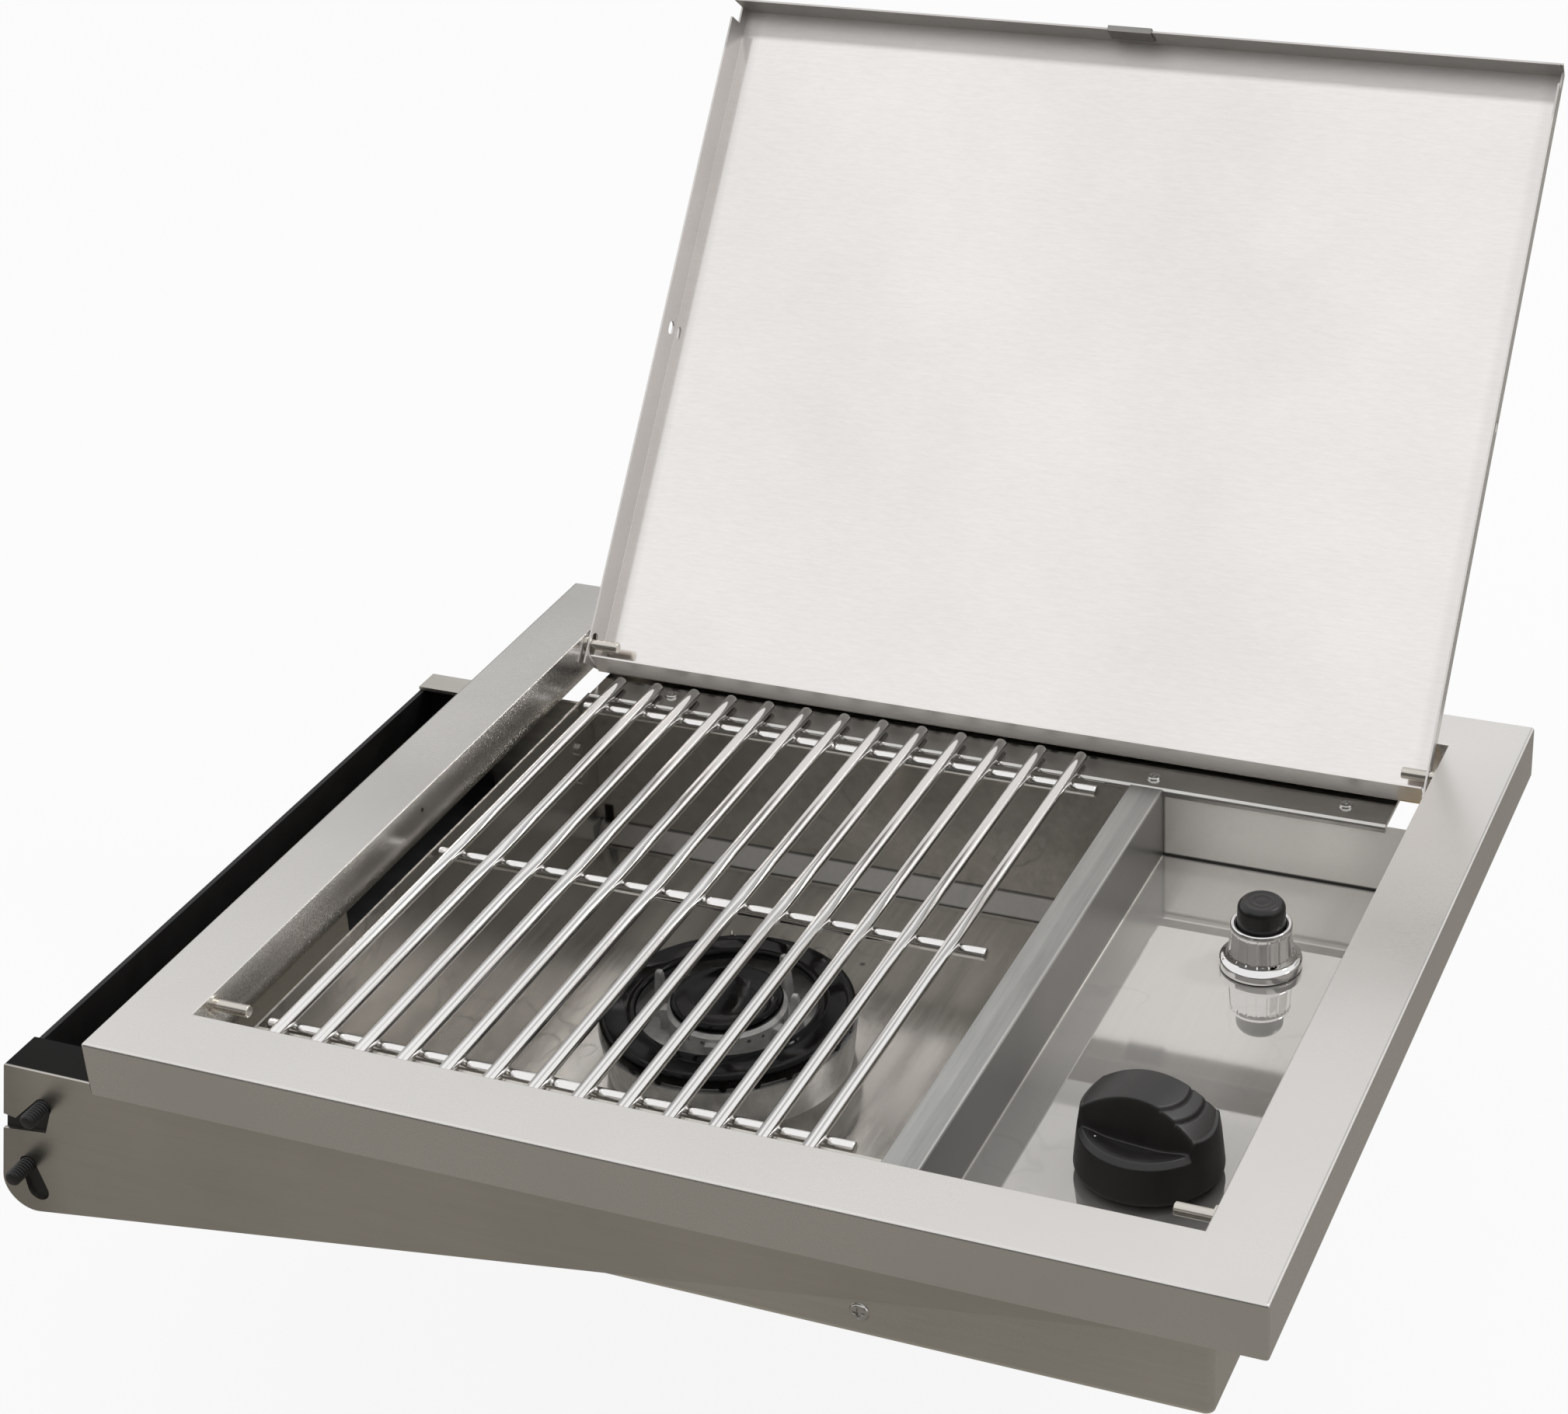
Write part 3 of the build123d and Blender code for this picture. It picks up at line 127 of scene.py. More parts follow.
def mapRange(tree, source, low, high, fromLow=0.3, fromHigh=0.7):
    # straight line from one range to the other, held at both ends
    node = addNode(tree, "ShaderNodeMapRange")
    feed(tree, node.inputs["Value"], source)
    for key, value in (("From Min", fromLow), ("From Max", fromHigh), ("To Min", low), ("To Max", high)):
        node.inputs[key].default_value = value
    return node.outputs["Result"]


def mixColor(tree, factor, first, second, blend="MIX"):
    # the second colour laid over the first by the factor
    node = addNode(tree, "ShaderNodeMix", data_type="RGBA", blend_type=blend)
    feed(tree, node.inputs[0], factor)
    feed(tree, node.inputs[6], first)
    feed(tree, node.inputs[7], second)
    return node.outputs[2]


def addMaths(tree, kind, first, second=0.0):
    # one sum of two sockets or numbers
    node = addNode(tree, "ShaderNodeMath", operation=kind)
    feed(tree, node.inputs[0], first)
    feed(tree, node.inputs[1], second)
    return node.outputs[0]


def addBump(tree, shader, height, strength, distance):
    # the height tilts the shader's normal
    bump = addNode(tree, "ShaderNodeBump", Strength=strength, Distance=distance)
    tree.links.new(height, bump.inputs["Height"])
    tree.links.new(bump.outputs["Normal"], shader.inputs["Normal"])


def gray(level):
    # the same level in all three channels
    return (level, level, level)


lidUp = (0.0, 0.7716, -0.6361)    # outward side of the open lid
lidZero = 113.3


def insideBox(tree, box, soft):
    # 1 inside a box of drawing millimetres on the named axes, fading to 0 over its soft edge;
    # the axis called lid is the height in the lid when it is closed
    where = addNode(tree, "ShaderNodeTexCoord")
    axes = addNode(tree, "ShaderNodeSeparateXYZ")
    leaning = addNode(tree, "ShaderNodeVectorMath", operation="DOT_PRODUCT")
    leaning.inputs[1].default_value = lidUp
    tree.links.new(where.outputs["Object"], axes.inputs["Vector"])
    tree.links.new(where.outputs["Object"], leaning.inputs[0])
    places = {"x": axes.outputs[0], "y": axes.outputs[1], "z": axes.outputs[2],
              "lid": leaning.outputs["Value"]}
    zeros = {"x": drawingZero[0], "y": drawingZero[1], "z": drawingZero[2], "lid": lidZero}
    mask = 1.0
    for name, (low, high) in box.items():
        for limit, rising in ((low, True), (high, False)):
            edge = (limit + zeros[name]) * mm
            ends = (0, 1) if rising else (1, 0)
            step = mapRange(tree, places[name], *ends, edge - soft * mm, edge + soft * mm)
            mask = addMaths(tree, "MULTIPLY", mask, step)
    return mask


# finishes
def sheetMetal(name, color, rough, grain, grainScale=22.0, shade=0.06, smudge=0.05, bump=0.05, stain=0.0,
               patches=(), metallic=1.0):
    # rolled sheet: long fine grain, cloudy wipe marks in colour and gloss, faint water marks;
    # a patch is a box of drawing millimetres with its own shade and gloss; many patches paint shade, highlights
    # or reflections
    material, tree, shader = newMaterial(name)
    shader.inputs["Metallic"].default_value = metallic
    streak = grainField(tree, grainScale, 5.0, grain, rough=0.72)
    cloud = grainField(tree, 9.0, 3.0)
    level = addMaths(tree, "MULTIPLY", mapRange(tree, streak, 1 - shade, 1 + shade * 0.5),
                     mapRange(tree, cloud, 1 - smudge, 1 + smudge * 0.5))
    if stain:
        ring = addMaths(tree, "ABSOLUTE", addMaths(tree, "SUBTRACT", grainField(tree, 30.0, 2.0), 0.58))
        somewhere = mapRange(tree, grainField(tree, 12.0, 1.0), 0, stain, 0.5, 0.62)
        mark = addMaths(tree, "MULTIPLY", mapRange(tree, ring, 1, 0, 0.0, 0.02), somewhere)
        level = addMaths(tree, "MULTIPLY", level, addMaths(tree, "SUBTRACT", 1.0, mark))
    gloss = addMaths(tree, "ADD", mapRange(tree, streak, rough[0], rough[1]),
                     mapRange(tree, cloud, -0.1 * rough[1], 0.15 * rough[1]))
    for patch in patches:
        mask = insideBox(tree, patch["box"], patch.get("soft", 0.25))
        level = addMaths(tree, "MULTIPLY", level, mapRange(tree, mask, 1.0, patch["shade"], 0.0, 1.0))
        if "rough" in patch:
            lift = addMaths(tree, "MULTIPLY", mask, addMaths(tree, "SUBTRACT", patch["rough"], gloss))
            gloss = addMaths(tree, "ADD", gloss, lift)
    feed(tree, shader.inputs["Base Color"], mixColor(tree, 1.0, color, level, "MULTIPLY"))
    feed(tree, shader.inputs["Roughness"], gloss)
    if bump:
        addBump(tree, shader, streak, bump, 0.0002)
    return material


def castMetal(name, color, rough, metallic=0.7):
    # sand-cast skin: fine pits, darker hollows and sooty patches
    material, tree, shader = newMaterial(name)
    shader.inputs["Metallic"].default_value = metallic
    fine = grainField(tree, 1600.0, 3.0)
    broad = grainField(tree, 90.0, 4.0)
    dark = tuple(channel * 0.5 for channel in color)
    feed(tree, shader.inputs["Base Color"], mixColor(tree, mapRange(tree, broad, 0, 1), dark, color))
    feed(tree, shader.inputs["Roughness"], mapRange(tree, fine, rough - 0.1, rough + 0.12))
    addBump(tree, shader, fine, 0.3, 0.0002)
    return material


def coating(name, color, rough, coat=0.0, speck=0.3, peelScale=420.0, peel=0.06, sheen=0.5):
    # enamel, paint and plastic: orange peel, dust and rubbed patches
    material, tree, shader = newMaterial(name)
    shader.inputs["Specular IOR Level"].default_value = sheen
    skin = grainField(tree, peelScale, 2.0)
    dust = grainField(tree, 70.0, 5.0, rough=0.7)
    light = tuple(min(1.0, channel * (1 + speck) + speck * 0.02) for channel in color)
    rubbed = mapRange(tree, dust, 0, 1, 0.45, 0.75)
    feed(tree, shader.inputs["Base Color"], mixColor(tree, rubbed, color, light))
    feed(tree, shader.inputs["Roughness"], mapRange(tree, dust, rough - 0.03, rough + 0.08))
    if coat:
        shader.inputs["Coat Weight"].default_value = coat
        shader.inputs["Coat Roughness"].default_value = 0.04
    addBump(tree, shader, skin, peel, 0.0002)
    return material


everywhere = (-2000.0, 2000.0)
borderHighlightPatches = [
    # painted highlight: the frame's top lighter towards its front right corner
    {"box": {"x": (300.0, 440.0), "y": (-40.0, 60.0), "z": (-0.2, 1.0)}, "shade": 1.08, "soft": 50.0},
]
boxPatches = [
    {"box": {"y": (-1.0, 8.0), "z": (-60.0, -50.4)}, "shade": 1.25, "soft": 0.4},
]
tubPatches = [
    {"box": {"y": (302.2, 311.0), "z": (-88.6, -80.2)}, "shade": 0.42, "rough": 0.3},    # low step at the back, darkened with painted shade
    {"box": {"y": (309.8, 311.0), "z": (-81.3, -80.2)}, "shade": 0.3},    # painted shade along its two folds
    {"box": {"y": (302.0, 303.2), "z": (-88.6, -86.9)}, "shade": 0.35},
    # painted shade: a near-black mark where the rear wall shows a dark slot
    {"box": {"x": (36.0, 40.4), "y": (309.0, 312.0), "z": (-84.0, -73.0)}, "shade": 0.05, "soft": 0.6},
    {"box": {"x": (178.9, 180.9), "y": (250.5, 252.5), "z": (-89.0, -87.0)}, "shade": 0.3, "soft": 0.6},
    # painted shade: the left wall darker
    {"box": {"x": (30.0, 34.7), "y": everywhere}, "shade": 0.72, "rough": 0.24},
]
trayPatches = [
    {"box": {"z": (-49.8, 0.0)}, "shade": 0.97, "rough": 0.3},    # walls above the mirror-like panel
    # painted shade: the left wall darker
    {"box": {"x": (280.0, 287.5), "z": (-49.8, 0.0)}, "shade": 0.3, "soft": 0.4},
    # painted reflection: the rear wall lighter
    {"box": {"y": (309.6, 330.0), "z": (-49.2, 0.0)}, "shade": 1.32, "soft": 0.4},
    {"box": {"x": (280.0, 287.5), "z": (-50.5, -49.75)}, "shade": 1.4},    # painted highlight along the fold at the left
    {"box": {"y": (-60.0, 160.0)}, "shade": 0.74, "soft": 14.0},    # painted shade and reflection: the panel darker round the knob
    {"box": {"y": (309.6, 312.0), "z": (-50.8, -49.2)}, "shade": 0.15},    # painted shade along the fold at the back
]
stripPatches = [
    {"box": {"x": (270.0, 279.8)}, "shade": 1.14, "soft": 0.5},
    # painted highlight along the right edge
    {"box": {"x": (286.1, 288.0)}, "shade": 1.5},
]
armPatches = [
    {"box": {"y": (3.9, 26.0), "z": (-19.6, -18.0)}, "shade": 0.02, "rough": 0.5},    # painted with the channel
    # painted shade: the front plate darker towards its left end
    {"box": {"x": (-60.0, -29.0), "y": (-1.0, 6.0)}, "shade": 0.55, "soft": 8.0},
]
lidPatches = [
    {"box": {"lid": (-12.0, 2.6)}, "shade": 1.0, "rough": 0.42, "soft": 0.1},    # flanges
    {"box": {"z": (202.8, 400.0)}, "shade": 0.8, "rough": 0.45, "soft": 1.0},    # duller along the front fold, and darkened as a painted reflection of the flange
    {"box": {"x": (20.0, 37.0)}, "shade": 0.9, "soft": 1.6},    # and along the side folds, darkened as painted reflections of the flanges
    {"box": {"x": (381.0, 400.0)}, "shade": 0.92, "soft": 1.6},
]
finishes = {
    "border_steel": sheetMetal("border steel", (0.72, 0.7, 0.675), (0.22, 0.27), (1, 4, 4), 260.0,
                               0.008, 0.06, 0.0, 0.0, borderHighlightPatches),
    "box_steel": sheetMetal("box steel", (0.66, 0.635, 0.59), (0.24, 0.36), (1, 20, 20), 18.0,
                            0.06, 0.1, 0.03, 0.0, boxPatches),
    "tub_steel": sheetMetal("tub steel", (0.62, 0.595, 0.555), (0.1, 0.2), (20, 1, 20), 16.0,
                            0.06, 0.16, 0.006, 0.25, tubPatches, metallic=0.85),
    "tray_steel": sheetMetal("tray steel", (0.72, 0.7, 0.67), (0.008, 0.03), (22, 1, 22), 18.0,
                             0.02, 0.04, 0.003, 0.07, trayPatches, metallic=0.6),
    "ledge_steel": sheetMetal("ledge steel", (0.6, 0.59, 0.57), (0.12, 0.22), (1, 20, 20)),
    "zinc_strip": sheetMetal("zinc strip", (0.385, 0.385, 0.375), (0.28, 0.4), (30, 1, 30), 24.0,
                             0.14, 0.16, 0.05, 0.0, stripPatches),
    "arm_steel": sheetMetal("arm steel", (0.6, 0.575, 0.53), (0.28, 0.4), (1, 20, 20), 20.0,
                            0.05, 0.1, 0.03, 0.0, armPatches),
    "fastener_steel": sheetMetal("fastener steel", (0.6, 0.59, 0.57), (0.14, 0.26), (8, 8, 8), 60.0),
    "black_paint": coating("channel paint", (0.006, 0.006, 0.006), 0.42, sheen=0.35),
    "black_steel": coating("blackened steel", (0.006, 0.006, 0.006), 0.36, 0.0, 0.5),
    "lid_steel": sheetMetal("lid steel", (0.835, 0.808, 0.788), (0.1, 0.15), (1, 6, 6), 150.0,
                            0.05, 0.055, 0.012, 0.0, lidPatches),
    "clip_steel": sheetMetal("clip steel", (0.3, 0.29, 0.28), (0.26, 0.4), (1, 20, 20)),
    "pin_steel": sheetMetal("pin steel", (0.64, 0.61, 0.56), (0.2, 0.28), (1, 30, 30), 40.0),
    "rod_chrome": sheetMetal("rod plating", (0.84, 0.83, 0.82), (0.08, 0.13), (60, 1, 60), 30.0,
                             0.04, 0.05, 0.003),
    "cast_alloy": castMetal("cast alloy", (0.64, 0.63, 0.61), 0.42, 0.4),
    "black_enamel": coating("black enamel", (0.0015, 0.0015, 0.0015), 0.06, 0.0, 0.25, 120.0, 0.01, 0.12),
    "tube_steel": sheetMetal("tube steel", (0.5, 0.49, 0.47), (0.3, 0.4), (20, 20, 1)),
    "brass": sheetMetal("brass", (0.72, 0.52, 0.24), (0.25, 0.35), (20, 20, 1)),
    "valve_alloy": castMetal("valve alloy", (0.55, 0.55, 0.53), 0.45),
    "pipe_alloy": sheetMetal("pipe alloy", (0.7, 0.7, 0.69), (0.25, 0.35), (20, 1, 20)),
    "knob_plastic": coating("knob plastic", (0.0042, 0.0032, 0.0026), 0.42, 0.0, 0.25, 900.0, 0.1, 0.75),
    "button_plastic": coating("button plastic", (0.004, 0.0037, 0.0035), 0.32, 0.0, 0.25, 900.0, 0.06, 0.6),
    "black_plastic": coating("black plastic", (0.02, 0.02, 0.02), 0.5),
    "bezel_chrome": sheetMetal("bezel plating", (0.8, 0.79, 0.79), (0.03, 0.06), (20, 20, 20), 60.0,
                               0.03, 0.03, 0.001),
    "gasket_rubber": coating("gasket rubber", (0.01, 0.01, 0.01), 0.7),
    "battery_wrap": coating("battery sleeve", (0.2, 0.2, 0.22), 0.3),
    "ceramic": coating("glazed ceramic", (0.78, 0.75, 0.68), 0.2, 0.3, 0.02),
}


def dressFrame():
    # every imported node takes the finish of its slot
    slots = {part["node"]: part["material_slot"] for part in frame["record"]["subparts"]}
    for name, thing in frame["nodes"].items():
        finish = finishes[slots[name]]
        if not thing.material_slots:
            thing.data.materials.append(finish)
        for held in thing.material_slots:
            held.material = finish


dressFrame()
print("frame dressed")


# surfaces
def meshOf(points, faces4, faces3):
    # flat arrays of corner numbers go into one mesh with foreach_set
    data = bpy.data.meshes.new("surface")
    corners = np.concatenate([faces4.ravel(), faces3.ravel()]).astype(np.int32)
    sizes = np.concatenate([np.full(len(faces4), 4), np.full(len(faces3), 3)])
    starts = np.concatenate([[0], np.cumsum(sizes)[:-1]]).astype(np.int32)
    data.vertices.add(len(points))
    data.vertices.foreach_set("co", np.asarray(points, dtype=np.float32).ravel())
    data.loops.add(len(corners))
    data.loops.foreach_set("vertex_index", corners)
    data.polygons.add(len(sizes))
    data.polygons.foreach_set("loop_start", starts)
    data.polygons.foreach_set("use_smooth", np.ones(len(sizes), dtype=bool))
    data.update(calc_edges=True)
    data.validate()
    return data


def ringFaces(rows, count, first, closed):
    # quads between rings of points; open ends get a fan to an end point
    row = np.arange(rows if closed else rows - 1)[:, None]
    column = np.arange(count)[None, :]
    nextRow = (row + 1) % rows
    nextColumn = (column + 1) % count
    quads = np.stack([row * count + column + 0 * nextRow, row * count + nextColumn,
                      nextRow * count + nextColumn, nextRow * count + column], axis=-1).reshape(-1, 4) + first
    if closed:
        return quads, np.zeros((0, 3), dtype=int)
    around = np.arange(count)
    following = (around + 1) % count
    base = rows * count
    last = (rows - 1) * count
    low = np.stack([np.full(count, base), following, around], axis=-1)
    high = np.stack([np.full(count, base + 1), last + around, last + following], axis=-1)
    return quads, np.concatenate([low, high]) + first


def addPiece(name, shells, body, slot, replaced=(), closed=False, sharp=35):
    # shells: arrays (rings, points round, 3) in drawing millimetres, each a closed skin
    points, quads, fans, first = [], [], [], 0
    for shell in shells:
        rows, count = shell.shape[:2]
        faces4, faces3 = ringFaces(rows, count, first, closed)
        flat = shell.reshape(-1, 3)
        if not closed:
            flat = np.concatenate([flat, shell[0].mean(0)[None], shell[-1].mean(0)[None]])
        points.append(flat)
        quads.append(faces4)
        fans.append(faces3)
        first += len(flat)
    data = meshOf(place(np.concatenate(points)), np.concatenate(quads), np.concatenate(fans))
    data.set_sharp_from_angle(angle=math.radians(sharp))
    data.name = name
    data.materials.append(finishes[slot])
    thing = bpy.data.objects.new(name, data)
    bpy.context.scene.collection.objects.link(thing)
    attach(thing, body)
    if replaced:
        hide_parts(*replaced)
    return thing


def softCorners(points, radii, steps=6):
    # polyline in radius and height; each corner becomes a short quadratic bend of the given reach
    points = np.asarray(points, dtype=float)
    out = [points[:1]]
    t = np.linspace(0, 1, steps)[:, None]
    for before, corner, after, reach in zip(points[:-2], points[1:-1], points[2:], radii):
        enter = corner + (before - corner) * min(0.5, reach / max(1e-6, np.linalg.norm(before - corner)))
        leave = corner + (after - corner) * min(0.5, reach / max(1e-6, np.linalg.norm(after - corner)))
        out.append((1 - t) ** 2 * enter + 2 * t * (1 - t) * corner + t ** 2 * leave)
    out.append(points[-1:])
    return np.concatenate(out)


def refine(profile, longest):
    # long straight runs of a profile get points of their own
    counts = np.maximum(1, np.ceil(np.linalg.norm(np.diff(profile, axis=0), axis=1) / longest)).astype(int)
    runs = [a + (b - a) * np.linspace(0, 1, count, endpoint=False)[:, None]
            for a, b, count in zip(profile[:-1], profile[1:], counts)]
    return np.concatenate(runs + [profile[-1:]])


def lathe(centre, profile, count=96):
    # profile of radius and height turned about the upright axis through the centre
    angle = np.linspace(0, 2 * np.pi, count, endpoint=False)
    radius, height = profile[:, :1], profile[:, 1:]
    x = centre[0] + radius * np.cos(angle)
    y = centre[1] + radius * np.sin(angle)
    return np.stack([x, y, height + 0 * angle], axis=-1)


def smooth01(value):
    # cubic ease: flat at 0 and at 1
    value = np.clip(value, 0, 1)
    return value * value * (3 - 2 * value)


# grate
grate = {
    "rods": 13, "firstX": 45.0, "pitch": 17.05, "radius": 2.5, "height": -17.3,
    "front": 39.0, "rear": 320.6, "dome": 1.5,
    "crossY": (58.5, 181.0, 303.5), "crossRadius": 2.4, "crossHeight": -22.25,
    "crossLeft": 35.4, "crossRight": 261.5, "chamfer": 0.7,
    "weldLength": 3.2, "weldWidth": 1.5, "weldSink": 0.9, "weldPole": 0.12,
}


def roundRod(start, end, radius, reach, along, count=40):
    # circle of a radius that falls off as a quarter round at both ends, carried along one axis
    length = end - start
    ease = np.linspace(0, 1, 7)
    inside = np.concatenate([reach * (1 - np.cos(ease * np.pi / 2)), np.linspace(2 * reach, length / 2, 6)])
    size = np.concatenate([radius - reach * (1 - np.sin(ease * np.pi / 2)), np.full(6, radius)])
    run = np.concatenate([start + inside, (end - inside)[::-1]])
    size = np.concatenate([size, size[::-1]])
    angle = np.linspace(0, 2 * np.pi, count, endpoint=False)
    first, second = np.cos(angle)[None] * size[:, None], np.sin(angle)[None] * size[:, None]
    run = run[:, None] + 0 * first
    return np.stack([second, run, first] if along == "y" else [run, first, second], axis=-1)


def weldBead(x, y):
    # flattened ball between a rod and its cross rod, wider along the rod
    polar = np.linspace(grate["weldPole"], np.pi - grate["weldPole"], 9)[:, None]
    angle = np.linspace(0, 2 * np.pi, 16, endpoint=False)[None]
    z = (grate["height"] - grate["radius"] + grate["crossHeight"] + grate["crossRadius"]) / 2
    return np.stack([x + grate["weldWidth"] * np.sin(polar) * np.cos(angle),
                     y + grate["weldLength"] * np.sin(polar) * np.sin(angle),
                     z - grate["weldSink"] * np.cos(polar) + 0 * angle], axis=-1)


def makeGrate():
    # a rod at every column, the cross rods below them and a bead wherever two meet
    columns = grate["firstX"] + grate["pitch"] * np.arange(grate["rods"])
    rod = roundRod(grate["front"], grate["rear"], grate["radius"], grate["dome"], "y")
    addPiece("grate_rods_round", [rod + (x, 0, grate["height"]) for x in columns], "grate", "rod_chrome",
             ("grate_rods",), sharp=60)
    bar = roundRod(grate["crossLeft"], grate["crossRight"], grate["crossRadius"], grate["chamfer"], "x")
    addPiece("grate_cross_rods_round", [bar + (0, y, grate["crossHeight"]) for y in grate["crossY"]], "grate",
             "rod_chrome", ("grate_cross_rods",), sharp=60)
    beads = [weldBead(x, y) for x in columns for y in grate["crossY"]]
    addPiece("grate_welds", beads, "grate", "fastener_steel", sharp=80)


makeGrate()
print("grate made")


# burner
burner = {
    "centre": (157.0, 176.3),
    "ringInner": 34.5, "ringOuter": 48.9, "ringTop": -62.0, "ringSkirt": 6.0, "ringSheet": 1.4, "ringDip": 1.6,
    "teeth": 24, "toothDepth": 1.6, "toothShare": 0.2,
    "capRadius": 21.8, "capTop": -59.5, "capThick": 3.2, "capDish": 0.9,
    "postAngles": (180.0, 62.0, 3.0), "postRadius": 28.0, "postFoot": 5.6, "postTip": 2.8,
    "postTop": -54.0, "deck": -74.0,
}


def makeBurner():
    b = burner
    inner, outer, top, sheet = b["ringInner"], b["ringOuter"], b["ringTop"], b["ringSheet"]
    low = top - b["ringDip"]
    skirt = top - b["ringSkirt"]
    # closed section: over the inner bead, across the dished face, round the outer roll and back beneath
    section = [(inner + 0.7, top - 4), (inner, top - 1.4), (inner + 1.0, top), (inner + 2.6, top - 0.5),
               (inner + 3.8, low), (outer - 3.2, low), (outer - 1.4, low + 0.35), (outer - 0.1, low - 0.8),
               (outer, skirt), (outer - sheet, skirt), (outer - sheet, low - 1.6), (outer - 3.4, low - sheet),
               (inner + 3.2, low - sheet), (inner + sheet + 0.7, top - 4), (inner + 0.7, top - 4)]
    section = softCorners(section, [0.6, 0.8, 0.8, 0.8, 1.2, 0.8, 0.8, 0.3, 0.3, 0.8, 0.8, 0.8, 0.3], 5)[:-1]
    ring = lathe(b["centre"], section[::-1], 384)
    angle = np.linspace(0, 2 * np.pi, 384, endpoint=False)
    # teeth: the skirt's lower edge drops by the tooth depth over a share of each pitch
    phase = np.abs((angle * b["teeth"] / (2 * np.pi)) % 1 - 0.5) * 2
    drop = b["toothDepth"] * smooth01((b["toothShare"] - phase) / 0.06 + 0.5)
    foot = smooth01((skirt + 0.5 - ring[..., 2]) / 0.5)
    ring[..., 2] -= foot * drop
    addPiece("burner_ring_enamelled", [ring], "base", "black_enamel", ("burner_ring",), closed=True, sharp=50)

    radius, capTop = b["capRadius"], b["capTop"]
    under = capTop - b["capThick"]
    profile = softCorners([(0.4, under - 4), (14.0, under - 4), (14.0, under), (radius - 0.4, under),
                           (radius, capTop - 1.2), (radius - 1.4, capTop),
                           (radius * 0.62, capTop - b["capDish"]), (0.4, capTop - b["capDish"] - 0.1)],
                          [0.5, 0.3, 0.8, 1.0, 1.2, 3.0], 7)
    addPiece("burner_cap_enamelled", [lathe(b["centre"], profile, 128)], "burner_top", "black_enamel",
             ("burner_cap",), sharp=50)

    posts = []
    for degrees in b["postAngles"]:
        # rounded square section that narrows to the tip; the outer corners follow a superellipse
        share = np.array([0, 0.05, 0.3, 0.6, 0.85, 0.94, 0.985, 1.0])[:, None]
        width = (b["postFoot"] + (b["postTip"] - b["postFoot"]) * share) / 2
        width = width * np.array([1, 1, 1, 1, 1, 0.94, 0.78, 0.5])[:, None]
        turn = np.linspace(0, 2 * np.pi, 32, endpoint=False)[None]
        blunt = (np.abs(np.cos(turn)) ** 5 + np.abs(np.sin(turn)) ** 5) ** (-1 / 5)
        along = b["postRadius"] + width * blunt * np.cos(turn)
        across = width * blunt * np.sin(turn)
        theta = math.radians(degrees)
        height = b["deck"] + (b["postTop"] - b["deck"]) * share
        posts.append(np.stack([b["centre"][0] + along * math.cos(theta) - across * math.sin(theta),
                               b["centre"][1] + along * math.sin(theta) + across * math.cos(theta),
                               height + 0 * turn], axis=-1))
    addPiece("burner_posts_cast", posts, "base", "cast_alloy", ("burner_posts",), sharp=50)


makeBurner()
print("burner made")


# knob
knob = {
    "centre": (345.0, 114.8), "bottom": -46.9, "top": -15.4, "radius": 26.0, "shelfRadius": 24.6,
    "shoulderRadius": 23.3, "shelf": -31.0, "shoulder": -24.0,
    "gripTop": 8.5, "gripFoot": 12.2, "turn": -6.0, "archLeft": 0.019, "archRight": 0.022,
    "archAcross": 0.004, "bowl": 1.4, "bowlReach": 24.0, "bowlInset": 1.2, "ridgeBlend": 0.7, "shelfBlend": 0.35,
    "dishDepth": 0.9, "dishStart": 21.5, "dishRun": 6.0,
    "grooveCentre": (-4.0, 3.5), "grooves": (17.0, 21.8), "grooveDepth": 0.7, "grooveWidth": 0.42,
    "step": 0.5,
    "dot": (-14.9, -12.9), "dotRadius": 0.42,
}


def knobSide(height):
    # side radius by height: a slight taper to the shelf and more above it
    return np.interp(height, [knob["bottom"], knob["shelf"] - 2, knob["shoulder"]],
                     [knob["radius"], knob["shelfRadius"], knob["shoulderRadius"]])


def knobHeight(x, y):
    # smaller of the arched ridge and its two leaning walls, never below the dished shelf
    k = knob
    t = math.radians(k["turn"])
    u = x * math.cos(t) + y * math.sin(t)
    v = -x * math.sin(t) + y * math.cos(t)
    bend = np.where(u < 0, k["archLeft"], k["archRight"])
    arch = k["top"] - bend * u ** 2 - k["archAcross"] * v ** 2
    d = np.hypot(x - k["grooveCentre"][0], y - k["grooveCentre"][1])
    right = smooth01((x - 2) / 4)
    for reach in k["grooves"]:
        arch = arch - right * k["step"] * smooth01((d - reach) / 0.5 + 0.5)
        arch = arch - right * k["grooveDepth"] * np.exp(-((d - reach) / k["grooveWidth"]) ** 2)
    slope = (k["top"] - k["shelf"]) / (k["gripFoot"] - k["gripTop"])
    bowl = k["bowl"] * (1 - (u / k["bowlReach"]) ** 2)
    wall = k["shelf"] + (k["gripFoot"] + bowl - k["bowlInset"] - np.abs(v)) * slope
    ridge = arch - k["ridgeBlend"] * np.logaddexp(0, (arch - wall) / k["ridgeBlend"])
    shelf = k["shelf"] - k["dishDepth"] * smooth01((k["dishStart"] - np.hypot(x, y)) / k["dishRun"])
    return shelf + k["shelfBlend"] * np.logaddexp(0, (ridge - shelf) / k["shelfBlend"])


